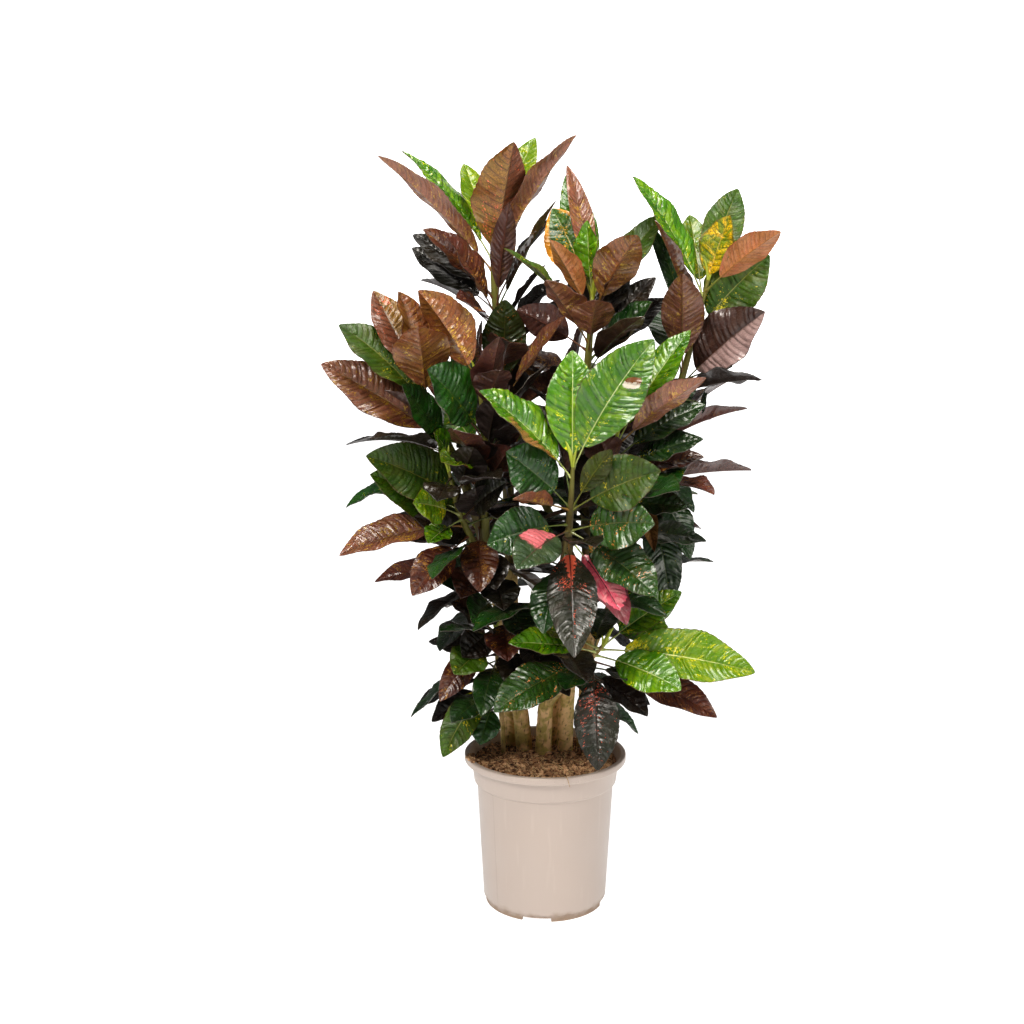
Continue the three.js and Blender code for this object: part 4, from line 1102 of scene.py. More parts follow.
@dataclass(frozen=True)
class WoodRule:
    """Sizes of the bark on the canes, in millimetres, and how young branches and buds count as."""

    step: float = 3.2
    flake: float = 0.7
    scar_rise: float = 0.55
    scar_spacing: float = 15.0
    rooted_radius: float = 8.0
    rooted_sides: int = 24
    branch_sides: int = 20
    bark_top: float = 430.0
    bark_fade: float = 200.0
    green_foot: float = 380.0
    green_fade: float = 260.0
    branch_youth: float = 0.35
    bud_youth: float = 1.6
    bud_leaves: tuple[float, ...] = (34.0, 27.0, 20.0, 15.0)


class WoodSkin:
    """Makes the bark of a cane's stems, with scars where leaves once stood."""

    def __init__(self, rule: WoodRule, seed: int) -> None:
        """Takes the sizes of the bark, and seeds how the stems vary."""
        self.rule = rule
        self.random = np.random.default_rng(seed)

    def add(self, shell: Shell, stem: Stem) -> None:
        """Adds one stem with its bark and its bud.

        Args:
            shell: what gathers the skins.
            stem: the stem.
        """
        line, rule = StemLine(stem), self.rule
        length = sum(math.dist(a, b) for a, b in zip(stem.points, stem.points[1:]))
        rows = max(12, round(length / rule.step))
        shares = np.linspace(0, 1, rows)
        points, radii = line.points(shares), line.radius(shares)
        rooted = radii[0] > rule.rooted_radius
        sides = rule.rooted_sides if rooted else rule.branch_sides
        turn = around(sides)
        run = shares[:, None] * length
        p = self.random.random(8) * 2 * np.pi
        old = np.clip((rule.bark_top - points[:, 2:3]) / rule.bark_fade, 0, 1) * rooted
        flake = np.sin(5 * turn + 0.11 * run + p[0]) + np.sin(9 * turn - 0.19 * run + p[1])
        flake = flake + np.sin(13 * turn + 0.43 * run + p[2])
        flake = flake + 0.8 * np.sin(0.9 * run + 3 * turn + p[3])
        ring = run + 3.2 * np.sin(turn + p[4]) + 1.4 * np.sin(2 * turn + p[5])
        ring = ring / rule.scar_spacing % 1.0
        # A scar is a narrow ridge with a groove just over it
        scar = np.exp(-(((ring - 0.5) / 0.055) ** 2))
        scar = scar - 0.7 * np.exp(-(((ring - 0.62) / 0.05) ** 2))
        high = rule.scar_rise * scar * (0.5 + 0.5 * old)
        high = high + rule.flake * 0.33 * flake * (0.25 + 0.75 * old)
        wide = radii[:, None] + high * np.clip(radii[:, None] / 10, 0.25, 1)
        skin, faces = tube(points, wide, sides)
        youth = np.clip((points[:, 2] - rule.green_foot) / rule.green_fade, 0, 1)
        if not rooted:
            youth = np.clip(youth + rule.branch_youth, 0, 1)
        youth = np.repeat(youth, sides)
        blade = np.stack([youth, flake.ravel(), np.zeros_like(youth)], -1)
        spot = np.stack([scar.ravel(), np.zeros_like(youth), np.zeros_like(youth)], -1)
        ends = np.array([[0.0, 0.0, 0.0], [youth[-1], 0.0, 0.0]])
        marks = (np.vstack([blade, ends]), np.vstack([spot, np.zeros((2, 3))]))
        shell.add(skin, faces, 0, *marks)
        self.add_bud(shell, stem)

    def add_bud(self, shell: Shell, stem: Stem) -> None:
        """Adds the growing tip: slim young leaves that are still furled.

        Args:
            shell: what gathers the skins.
            stem: the stem.
        """
        top = np.array(stem.points[-1], float)
        up = top - np.array(stem.points[-2], float)
        up = up / np.linalg.norm(up) * 0.6 + np.array([0.0, 0.0, 0.55])
        turn = self.random.random() * 2 * np.pi
        t = np.linspace(0, 1, 9)[:, None]
        for i, tall in enumerate(self.rule.bud_leaves):
            lean = turn + i * math.radians(GOLDEN_ANGLE)
            out = np.array([math.cos(lean), math.sin(lean), 0.0])
            points = top - up * 3 + up * tall * t + out * (1.0 + 0.32 * tall * t**2)
            radii = 2.1 * np.sin(np.pi * (0.12 + 0.86 * t[:, 0])) ** 0.7 * tall / 30 + 0.25
            skin, faces = tube(points, radii, 8)
            marks = np.tile([[self.rule.bud_youth, 0.0, 0.0]], (len(skin), 1))
            shell.add(skin, faces, blade=marks)


def srgb(red: float, green: float, blue: float) -> Colour:
    """Returns a colour given in display steps from 0 to 255 as the shader's linear numbers."""
    shares = (red / 255, green / 255, blue / 255)
    return tuple(c / 12.92 if c <= 0.04045 else ((c + 0.055) / 1.055) ** 2.4 for c in shares)


@dataclass(frozen=True)
class Value:
    """A number, point or colour that a material works out, with the usual signs of arithmetic."""

    paint: "Paint"
    socket: bpy.types.NodeSocket

    def __add__(self, other: "Value | float") -> "Value":
        """Returns the sum."""
        return self.paint.math("ADD", self, other)

    def __sub__(self, other: "Value | float") -> "Value":
        """Returns the difference."""
        return self.paint.math("SUBTRACT", self, other)

    def __mul__(self, other: "Value | float") -> "Value":
        """Returns the product."""
        return self.paint.math("MULTIPLY", self, other)

    def __pow__(self, other: float) -> "Value":
        """Returns the power."""
        return self.paint.math("POWER", self, other)

    def __abs__(self) -> "Value":
        """Returns the number without its sign."""
        return self.paint.math("ABSOLUTE", self)

    def stretched(self, *scale: float) -> "Value":
        """Returns the point stretched by a share along each axis."""
        ends = {0: self, 1: scale}
        return self.paint.node("ShaderNodeVectorMath", 0, ends, operation="MULTIPLY")

    def step(self, low: float, high: float, start: float = 0.0, end: float = 1.0) -> "Value":
        """Returns a number that eases from start to end where this one goes from low to high."""
        ends = {"Value": self, "From Min": low, "From Max": high, "To Min": start, "To Max": end}
        return self.paint.node(
            "ShaderNodeMapRange", "Result", ends, interpolation_type="SMOOTHSTEP"
        )


class Paint:
    """A material's nodes, laid out by short calls."""

    def __init__(self, name: str) -> None:
        """Starts a material.

        Args:
            name: the material's name.
        """
        self.material = bpy.data.materials.new(name)
        self.material.use_nodes = True
        self.tree = self.material.node_tree
        self.shader = self.tree.nodes["Principled BSDF"]

    def put(self, socket: bpy.types.NodeSocket, value: Value | Colour | float) -> None:
        """Links a socket to a value that is worked out, or sets it.

        Args:
            socket: the input.
            value: a value, a number, a point or a colour.
        """
        if isinstance(value, Value):
            self.tree.links.new(value.socket, socket)
        elif isinstance(value, tuple) and len(socket.default_value) == 4:
            socket.default_value = (*value, 1.0)
        else:
            socket.default_value = value

    def node(self, kind: str, output: str | int, inputs: dict, **settings: str) -> Value:
        """Adds a node.

        Args:
            kind: the node's type.
            output: the name or number of the output that is read.
            inputs: what its inputs get, by their names or numbers.
            settings: its properties.

        Returns:
            What the output gives.
        """
        made = self.tree.nodes.new(kind)
        for key, value in settings.items():
            setattr(made, key, value)
        for key, value in inputs.items():
            self.put(made.inputs[key], value)
        return Value(self, made.outputs[output])

    def place(self) -> Value:
        """Returns the point in the object's own frame, in metres."""
        return self.node("ShaderNodeTexCoord", "Object", {})

    def split(self, point: Value) -> list[Value]:
        """Returns the three numbers of a point."""
        outputs = self.node("ShaderNodeSeparateXYZ", 0, {0: point}).socket.node.outputs
        return [Value(self, output) for output in outputs]

    def marks(self, name: str) -> list[Value]:
        """Returns the three numbers of a mark that the mesh carries at each point."""
        return self.split(self.node("ShaderNodeAttribute", "Vector", {}, attribute_name=name))

    def point(self, *numbers: Value) -> Value:
        """Returns the point that three numbers make."""
        return self.node("ShaderNodeCombineXYZ", 0, dict(enumerate(numbers)))

    def math(self, operation: str, *values: Value | float) -> Value:
        """Returns the result of an operation on one or two numbers."""
        return self.node("ShaderNodeMath", 0, dict(enumerate(values)), operation=operation)

    def mix(self, share: Value, first: Value | Colour, second: Value | Colour) -> Value:
        """Returns the mix of two colours in which the second has the given share."""
        inputs = {"Factor": share, 6: first, 7: second}
        return self.node("ShaderNodeMix", 2, inputs, data_type="RGBA")

    def noise(self, place: Value, scale: float, detail: float = 3.0, warp: float = 0.0) -> Value:
        """Returns a cloudy number from about 0 to 1."""
        inputs = {"Vector": place, "Scale": scale, "Detail": detail, "Distortion": warp}
        return self.node("ShaderNodeTexNoise", "Fac", inputs)

    def cells(self, place: Value, scale: float, feature: str, output: str) -> Value:
        """Returns what is read in a net of cells."""
        inputs = {"Vector": place, "Scale": scale}
        return self.node("ShaderNodeTexVoronoi", output, inputs, feature=feature)

    def relief(self, *layers: tuple[Value, float, float]) -> Value:
        """Turns heights into relief, each layer on the one before it.

        Args:
            layers: a height, how high one step of it is in metres, and how much of it shows.

        Returns:
            The direction for the shader.
        """
        under = {}
        for height, distance, strength in layers:
            inputs = {"Height": height, "Distance": distance, "Strength": strength} | under
            under = {"Normal": self.node("ShaderNodeBump", 0, inputs)}
        return under["Normal"]

    def finish(self, **inputs: Value | Colour | float) -> bpy.types.Material:
        """Sets the shader's inputs, where an underscore stands for a space.

        Args:
            inputs: values, numbers or colours by the names of the inputs.

        Returns:
            The material.
        """
        for label, value in inputs.items():
            self.put(self.shader.inputs[label.replace("_", " ")], value)
        return self.material


class LeafPaint(Paint):
    """A leaf's material, with what its markings read at each point of the blade."""

    COUNT_LENGTH = 8.5
    TINT_LENGTH = 900.0

    def __init__(self, name: str) -> None:
        """Reads the marks of the mesh and lays the clouds, the veins and the net.

        Args:
            name: the material's name.
        """
        super().__init__(name)
        count, self.across, self.tint = self.marks("blade")
        self.share, self.upper, self.from_rib = self.marks("spot")
        self.wide = abs(self.across)
        out = self.from_rib * self.math("SIGN", self.across)
        self.skin = self.point(count * self.COUNT_LENGTH, out, self.tint * self.TINT_LENGTH)
        self.cloud = self.noise(self.place(), 30.0, 4.0, 0.4)
        self.patch = self.noise(self.skin, 0.055, 3.0, 0.6)
        self.grain = self.noise(self.skin, 0.6, 3.0) - 0.5
        self.to_vein = abs(self.math("FRACT", count + 0.5) - 0.5) * 2.0
        crease = (self.to_vein + self.grain * 0.3).step(0.03, 0.2, 1.0, 0.0)
        self.crease = crease * self.wide.step(0.6, 0.97, 1.0, 0.2)
        self.vein = self.crease * self.cloud.step(0.35, 0.6, 0.45, 1.0)
        web = self.skin.stretched(0.4, 0.26, 1.0)
        web = self.cells(web, 1.0, "DISTANCE_TO_EDGE", "Distance")
        self.net = web.step(0.015, 0.1, 1.0, 0.0)
        self.rib = (self.from_rib + self.share * 0.55).step(0.55, 1.25, 1.0, 0.0)


@dataclass(frozen=True)
class LeafFinish:
    """The colours of one kind of leaf, and how its markings lie.

    Body, shade and third are tones of the blade, and own is one that a leaf takes as a whole.
    The groove share is painted shade: the vein's tone laid into the hollows beside the laterals.
    Half is the second tone of a leaf whose halves differ. On the dusk look it is painted light:
    the pale half stands for the lit side of the folded blade, the body for its shaded side.
    Scorch is the place of a dried spot, which is brown at its upper edge and bleached under it.
    """

    body: Colour
    shade: Colour
    third: Colour
    own: Colour
    rib: Colour
    vein: Colour
    margin: Colour
    under: Colour
    under_vein: Colour
    third_share: float = 0.6
    under_share: float = 1.0
    rib_share: float = 0.8
    vein_share: float = 0.35
    # painted shade: how far the vein's tone darkens the hollows beside the laterals
    painted_groove_shade: float = 0.2
    net: float = 0.25
    fleck: Colour = (0.6, 0.5, 0.05)
    flecks: float = 0.0
    fleck_reach: float = 0.5
    fleck_fall: float = 0.012
    half: Colour | None = None
    half_side: float = 1.0
    half_from: float = -0.02
    half_end: float = 1.5
    ragged: float = 1.1
    blaze: float = 0.0
    blaze_end: float = 0.5
    tip_from: float = 2.0
    scorch: tuple[float, float] | None = None
    brown: Colour = srgb(132, 66, 36)
    bleached: Colour = srgb(240, 228, 214)
    edge: float = 0.965
    gloss: float = 0.3
    coat: float = 0.35
    stalk: Colour = (0.25, 0.3, 0.06)
    shadow: Colour = (0.008, 0.01, 0.004)

    def material(self, kind: Kind) -> bpy.types.Material:
        """Makes the material.

        Args:
            kind: the kind of leaf, which names it.

        Returns:
            The material.
        """
        p = LeafPaint(f"{kind.value}_leaf")
        turned = p.upper.step(0.1, 0.4, self.under_share, 0.0)
        colour = p.mix(turned, self.upper(p), self.lower(p))
        stalk = p.mix(p.cloud.step(0.3, 0.7), self.stalk, self.rib)
        colour = p.mix(p.share.step(-0.002, 0.003), stalk, colour)
        colour = p.mix(p.tint.step(0.2, 1.0, 0.0, 0.3), colour, self.shadow)
        rough = turned.step(0.0, 1.0, self.gloss, 0.5) + p.cloud * 0.14
        swell = p.noise(p.skin, 0.2, 3.0)
        relief = p.relief((p.net, 0.0005, 0.5), (p.crease, 0.0006, 0.5), (swell, 0.003, 0.6))
        p.finish(Base_Color=colour, Roughness=rough, Normal=relief)
        return p.finish(IOR=1.5, Coat_Weight=self.coat, Coat_Roughness=0.18)

    def upper(self, p: LeafPaint) -> Value:
        """Paints the upper face.

        Args:
            p: the leaf's material.

        Returns:
            The colour.
        """
        own = p.math("FRACT", p.tint * 7.3).step(0.35, 0.75, 0.0, 0.8)
        body = p.mix(own, self.body, self.own)
        body = p.mix(p.cloud.step(0.42, 0.66, 0.0, 0.8), body, self.shade)
        body = p.mix(p.patch.step(0.48, 0.62, 0.0, self.third_share), body, self.third)
        if self.half:
            body = p.mix(self.half_mask(p), body, self.half)
        # Painted shade: the vein's tone darkens the hollows along each lateral, where the quilts dip
        body = p.mix(p.to_vein.step(0.05, 0.75, self.painted_groove_shade, 0.0), body, self.vein)
        body = p.mix(p.vein * self.vein_share, body, self.vein)
        body = p.mix(p.net * self.net, body, self.vein)
        if self.flecks > 0:
            body = p.mix(self.fleck_mask(p), body, self.fleck)
        if self.blaze > 0:
            body = p.mix(self.blaze_mask(p), body, self.fleck)
        body = p.mix(p.rib * p.share.step(0.6, 1.0, self.rib_share, 0.1), body, self.rib)
        if self.scorch:
            body = self.scorched(p, body)
        tip = (p.share + p.patch * 0.2).step(self.tip_from, self.tip_from + 0.2)
        rim = p.wide + p.grain * 0.1 + tip
        return p.mix(rim.step(self.edge, 0.5 + 0.5 * self.edge, 0.0, 0.85), body, self.margin)

    def lower(self, p: LeafPaint) -> Value:
        """Paints the underside.

        Args:
            p: the leaf's material.

        Returns:
            The colour.
        """
        under = p.mix(p.cloud.step(0.4, 0.65, 0.0, 0.35), self.under, self.under_vein)
        under = p.mix(p.vein * 0.7, under, self.under_vein)
        under = p.mix(p.net * 0.45, under, self.under_vein)
        return p.mix(p.rib * 0.6, under, self.rib)

    def half_mask(self, p: LeafPaint) -> Value:
        """Gives where a leaf of two tones shows its second one, with a ragged border.

        Args:
            p: the leaf's material.

        Returns:
            A share from 0 to 1.
        """
        ragged = (p.patch - 0.5) * self.ragged + p.grain * 0.25
        halved = p.across * self.half_side + ragged
        short = (p.share + p.patch * 0.3).step(self.half_end, self.half_end + 0.06, 1.0, 0.0)
        return halved.step(self.half_from, self.half_from + 0.12, 0.0, 0.92) * short

    def blaze_mask(self, p: LeafPaint) -> Value:
        """Gives the jagged bright patch that runs along the midrib from the foot of the blade.

        Args:
            p: the leaf's material.

        Returns:
            A share from 0 to 1.
        """
        reach = p.share.step(0.0, self.blaze_end, self.blaze, -2.0)
        teeth = (p.noise(p.skin, 0.3, 2.0) - 0.5) * 12.0 + p.to_vein * 3.5
        return (reach - (p.from_rib + teeth)).step(-0.4, 0.6, 0.0, 0.95)

    def scorched(self, p: LeafPaint, body: Value) -> Value:
        """Paints one dried spot: a brown upper edge over a bleached patch.

        Args:
            p: the leaf's material.
            body: the colour that it lies on.

        Returns:
            The colour with the spot.
        """
        length, width, slant, corners = 0.052, 0.3, 0.1, 3.0
        aside = p.across - self.scorch[1]
        along = (aside * slant + (p.share - self.scorch[0])) * (1 / length)
        away = abs(along) ** corners + abs(aside * (1 / width)) ** corners
        torn = p.grain * 1.6 + along
        dry = p.mix(torn.step(-0.15, 0.15), self.bleached, self.brown)
        return p.mix((p.grain * 1.2 + away).step(0.7, 1.1, 0.9, 0.0), body, dry)

    def fleck_mask(self, p: LeafPaint) -> Value:
        """Gives the small bright flecks, which lie along the laterals in loose groups.

        Args:
            p: the leaf's material.

        Returns:
            A share from 0 to 1.
        """
        grains = p.noise(p.skin.stretched(0.62, 0.3, 1.0), 1.0, 2.0)
        groups = p.noise(p.skin.stretched(0.07, 0.07, 1.7), 1.0, 2.0)
        near = (p.share + p.from_rib * self.fleck_fall).step(0.1, self.fleck_reach, 1.0, 0.0)
        where = grains + (groups * 0.7 + near * 0.12 + 0.12 * self.flecks)
        return where.step(1.12, 1.17, 0.0, 0.95)


LEAVES = {
    Kind.LIME: LeafFinish(
        body=srgb(116, 148, 0), shade=srgb(90, 132, 0), third=srgb(156, 170, 6),
        own=srgb(102, 140, 0), rib=srgb(226, 230, 150), vein=srgb(70, 118, 16),
        margin=srgb(96, 92, 20), under=srgb(150, 100, 48), under_vein=srgb(112, 66, 34),
        vein_share=0.4, net=0.16, fleck=srgb(226, 216, 30), flecks=0.9, fleck_reach=0.7, gloss=0.2,
        coat=0.5,
    ),
    Kind.GREEN: LeafFinish(
        body=srgb(90, 140, 6), shade=srgb(58, 116, 8), third=srgb(138, 174, 14),
        own=srgb(78, 134, 10), rib=srgb(210, 220, 140), vein=srgb(30, 80, 8),
        margin=srgb(84, 70, 24), under=srgb(128, 92, 46), under_vein=srgb(90, 56, 30),
        vein_share=0.45, net=0.2, fleck=srgb(220, 214, 36), flecks=0.35, gloss=0.16, coat=0.9,
    ),
    Kind.DEEP: LeafFinish(
        body=srgb(30, 80, 14), shade=srgb(14, 48, 10), third=srgb(44, 84, 16),
        own=srgb(16, 50, 16), rib=srgb(92, 110, 48), vein=srgb(8, 30, 6), margin=srgb(54, 40, 22),
        under=srgb(78, 50, 32), under_vein=srgb(46, 28, 18), rib_share=0.55,
        fleck=srgb(196, 176, 40), flecks=0.1, gloss=0.22, coat=0.8, stalk=srgb(96, 104, 40),
    ),
    Kind.COPPER: LeafFinish(
        body=srgb(150, 86, 36), shade=srgb(126, 92, 26), third=srgb(156, 112, 32),
        own=srgb(136, 78, 44), rib=srgb(96, 56, 30), vein=srgb(62, 28, 16),
        margin=srgb(84, 40, 28), under=srgb(146, 102, 72), under_vein=srgb(92, 54, 38),
        under_share=0.25, rib_share=0.5, vein_share=0.75, net=0.45, fleck=srgb(206, 168, 44),
        flecks=0.5, fleck_reach=1.4, coat=0.6, stalk=srgb(150, 120, 50),
    ),
    Kind.OLIVE: LeafFinish(
        body=srgb(152, 110, 32), shade=srgb(130, 102, 24), third=srgb(146, 82, 38),
        own=srgb(140, 104, 30), rib=srgb(72, 40, 22), vein=srgb(58, 26, 14),
        margin=srgb(110, 56, 32), under=srgb(150, 108, 74), under_vein=srgb(92, 54, 38),
        under_share=0.15, rib_share=0.7, vein_share=0.95, net=0.55, fleck=srgb(240, 116, 76),
        flecks=0.7, fleck_reach=0.62, half=srgb(140, 84, 62), ragged=0.15, coat=0.5,
        stalk=srgb(150, 120, 50),
    ),
    Kind.MAUVE: LeafFinish(
        body=srgb(150, 92, 66), shade=srgb(120, 72, 52), third=srgb(160, 116, 54),
        own=srgb(138, 88, 70), rib=srgb(132, 108, 56), vein=srgb(76, 42, 28),
        margin=srgb(84, 48, 36), under=srgb(160, 112, 84), under_vein=srgb(96, 62, 54),
        third_share=0.35, under_share=0.3, rib_share=0.55, vein_share=0.6, net=0.35,
        fleck=srgb(200, 160, 52), flecks=0.45, fleck_reach=1.5, gloss=0.24, coat=0.7,
        stalk=srgb(150, 110, 60),
    ),
    Kind.MAROON: LeafFinish(
        body=srgb(106, 50, 32), shade=srgb(74, 34, 24), third=srgb(124, 72, 36),
        own=srgb(92, 46, 32), rib=srgb(120, 70, 48), vein=srgb(36, 16, 14),
        margin=srgb(46, 26, 24), under=srgb(92, 56, 50), under_vein=srgb(54, 30, 26),
        under_share=0.7, rib_share=0.45, net=0.3, fleck=srgb(176, 126, 52), flecks=0.5,
        fleck_reach=1.6, gloss=0.26, coat=0.7, stalk=srgb(110, 74, 44),
    ),
    Kind.BLACK: LeafFinish(
        body=srgb(40, 28, 18), shade=srgb(20, 22, 12), third=srgb(46, 36, 20),
        own=srgb(28, 28, 16), rib=srgb(70, 44, 32), vein=srgb(10, 8, 8), margin=srgb(30, 22, 20),
        under=srgb(56, 38, 34), under_vein=srgb(32, 20, 18), under_share=0.8, rib_share=0.4,
        gloss=0.22, coat=0.6, stalk=srgb(80, 66, 34),
    ),
    Kind.FLECK: LeafFinish(
        body=srgb(40, 42, 22), shade=srgb(30, 34, 18), third=srgb(60, 44, 32),
        own=srgb(42, 40, 24), rib=srgb(52, 30, 24), vein=srgb(14, 14, 10), margin=srgb(34, 26, 22),
        under=srgb(80, 54, 46), under_vein=srgb(60, 36, 32), fleck=srgb(240, 112, 84), flecks=0.4,
        fleck_reach=0.9, gloss=0.22, coat=0.55, stalk=srgb(110, 84, 44),
    ),
    Kind.BLUSH: LeafFinish(
        body=srgb(62, 86, 52), shade=srgb(40, 60, 34), third=srgb(80, 96, 60),
        own=srgb(52, 74, 44), rib=srgb(84, 44, 42), vein=srgb(30, 44, 24), margin=srgb(60, 34, 32),
        under=srgb(116, 84, 78), under_vein=srgb(70, 44, 42), half=srgb(234, 124, 132),
        half_side=-1.0, half_end=0.62, gloss=0.24, coat=0.75,
    ),
    Kind.PINK: LeafFinish(
        body=srgb(255, 118, 140), shade=srgb(255, 112, 136), third=srgb(255, 188, 186),
        own=srgb(255, 126, 146), rib=srgb(74, 30, 34), vein=srgb(206, 60, 84),
        margin=srgb(72, 34, 36), under=srgb(180, 92, 96), under_vein=srgb(110, 44, 52),
        under_share=0.2, rib_share=0.95, painted_groove_shade=0.15, tip_from=0.78, edge=0.8, gloss=0.24,
        coat=0.6,
    ),
    Kind.GOLD: LeafFinish(
        body=srgb(244, 190, 26), shade=srgb(216, 188, 22), third=srgb(112, 142, 18),
        own=srgb(246, 176, 40), rib=srgb(208, 170, 70), vein=srgb(52, 84, 12),
        margin=srgb(96, 92, 30), under=srgb(176, 150, 60), under_vein=srgb(120, 106, 44),
        third_share=0.85, vein_share=0.9, painted_groove_shade=0.25, net=0.85, edge=0.85,
    ),
    Kind.MOSS: LeafFinish(
        body=srgb(74, 108, 8), shade=srgb(44, 82, 8), third=srgb(96, 94, 16), own=srgb(66, 98, 10),
        rib=srgb(136, 136, 62), vein=srgb(46, 52, 10), margin=srgb(84, 56, 24),
        under=srgb(112, 92, 42), under_vein=srgb(76, 52, 26), third_share=0.36, under_share=0.28,
        net=0.35, fleck=srgb(214, 196, 40), flecks=0.25, fleck_reach=0.8, gloss=0.33, coat=0.12,
    ),
    Kind.SPICE: LeafFinish(
        body=srgb(214, 142, 88), shade=srgb(194, 130, 72), third=srgb(220, 126, 84),
        own=srgb(198, 136, 72), rib=srgb(150, 106, 48), vein=srgb(108, 62, 32),
        margin=srgb(150, 70, 44), under=srgb(200, 138, 90), under_vein=srgb(130, 84, 44),
        under_share=0.3, rib_share=0.5, vein_share=0.7, painted_groove_shade=0.1, net=0.4,
        fleck=srgb(226, 96, 70), flecks=0.3,
    ),
    Kind.EMBER: LeafFinish(
        body=srgb(52, 100, 14), shade=srgb(34, 78, 12), third=srgb(96, 130, 16),
        own=srgb(44, 90, 14), rib=srgb(190, 160, 50), vein=srgb(24, 60, 8),
        margin=srgb(240, 156, 24), under=srgb(150, 110, 50), under_vein=srgb(110, 70, 34),
        fleck=srgb(238, 180, 36), flecks=0.7, fleck_reach=1.2, edge=0.66, gloss=0.24, coat=0.4,
    ),
    Kind.MOTTLE: LeafFinish(
        body=srgb(50, 90, 22), shade=srgb(30, 62, 14), third=srgb(68, 86, 24),
        own=srgb(42, 80, 20), rib=srgb(112, 112, 60), vein=srgb(16, 42, 8),
        margin=srgb(60, 44, 26), under=srgb(84, 60, 36), under_vein=srgb(54, 34, 22),
        under_share=0.2, rib_share=0.6, fleck=srgb(236, 150, 80), flecks=0.55, fleck_reach=0.4,
        gloss=0.2, coat=0.85,
    ),
    # Painted light: the pale half is the lit side of the folded blade, the dark body its shaded side
    Kind.DUSK_LIT_HALF: LeafFinish(
        body=srgb(78, 42, 32), shade=srgb(60, 32, 26), third=srgb(104, 70, 50),
        own=srgb(74, 42, 34), rib=srgb(120, 84, 62), vein=srgb(44, 24, 20),
        margin=srgb(60, 36, 30), under=srgb(140, 108, 100), under_vein=srgb(90, 60, 54),
        third_share=0.3, under_share=0.3, rib_share=0.6, half=srgb(190, 160, 156), half_side=-1.0,
        ragged=0.1, gloss=0.26, coat=0.7,
    ),
    Kind.DRY: LeafFinish(
        body=srgb(168, 128, 62), shade=srgb(118, 78, 38), third=srgb(140, 104, 52),
        own=srgb(150, 110, 56), rib=srgb(140, 96, 50), vein=srgb(90, 58, 32),
        margin=srgb(84, 52, 30), under=srgb(150, 118, 66), under_vein=srgb(96, 66, 38), gloss=0.6,
        coat=0.0, stalk=srgb(120, 84, 46),
    ),
}
LEAVES[Kind.BLAZE] = replace(LEAVES[Kind.FLECK], blaze=11.0, blaze_end=0.55)
LEAVES[Kind.SCORCH] = replace(LEAVES[Kind.GREEN], scorch=(0.63, -0.37))
LEAVES[Kind.CUFF] = replace(
    LEAVES[Kind.GREEN], half=srgb(176, 116, 70), half_from=0.5, half_end=0.78, ragged=0.25
)


@dataclass(frozen=True)
class BarkFinish:
    """Flaky tan bark low on the canes, passing into smooth green shoots."""

    tan: Colour = srgb(236, 200, 146)
    olive: Colour = srgb(180, 160, 92)
    grey: Colour = srgb(196, 174, 136)
    crack: Colour = srgb(84, 58, 36)
    shoot: Colour = srgb(96, 84, 46)
    shoot_scar: Colour = srgb(70, 54, 36)
    shoot_light: Colour = srgb(120, 116, 58)
    tip: Colour = srgb(168, 178, 66)

    def material(self) -> bpy.types.Material:
        """Makes the material.

        Returns:
            The bark's material.
        """
        p = Paint("croton_bark")
        youth, flake, _ = p.marks("blade")
        scar = p.marks("spot")[0]
        place = p.place()
        cloud = p.noise(place, 60.0, 5.0, 0.5)
        grain = p.noise(place.stretched(1.0, 1.0, 0.16), 520.0, 4.0)
        old = p.mix(cloud.step(0.38, 0.62), self.tan, self.olive)
        old = p.mix((flake + grain * 2.2).step(-1.8, 0.6, 0.7, 0.0), old, self.crack)
        old = p.mix(scar.step(0.1, 0.8, 0.0, 0.25), old, self.crack)
        old = p.mix(grain.step(0.62, 0.8, 0.0, 0.5), old, self.grey)
        young = p.mix(scar.step(0.1, 0.8, 0.0, 0.5), self.shoot, self.shoot_scar)
        young = p.mix(cloud.step(0.3, 0.7, 0.0, 0.35), young, self.shoot_light)
        colour = p.mix(youth.step(0.05, 0.75), old, young)
        colour = p.mix(youth.step(0.85, 1.4), colour, self.tip)
        relief = p.relief((grain, 0.0008, 0.6), (cloud, 0.0012, 0.5))
        rough = youth.step(0.2, 1.2, 0.82, 0.42)
        return p.finish(Base_Color=colour, Roughness=rough, Normal=relief)


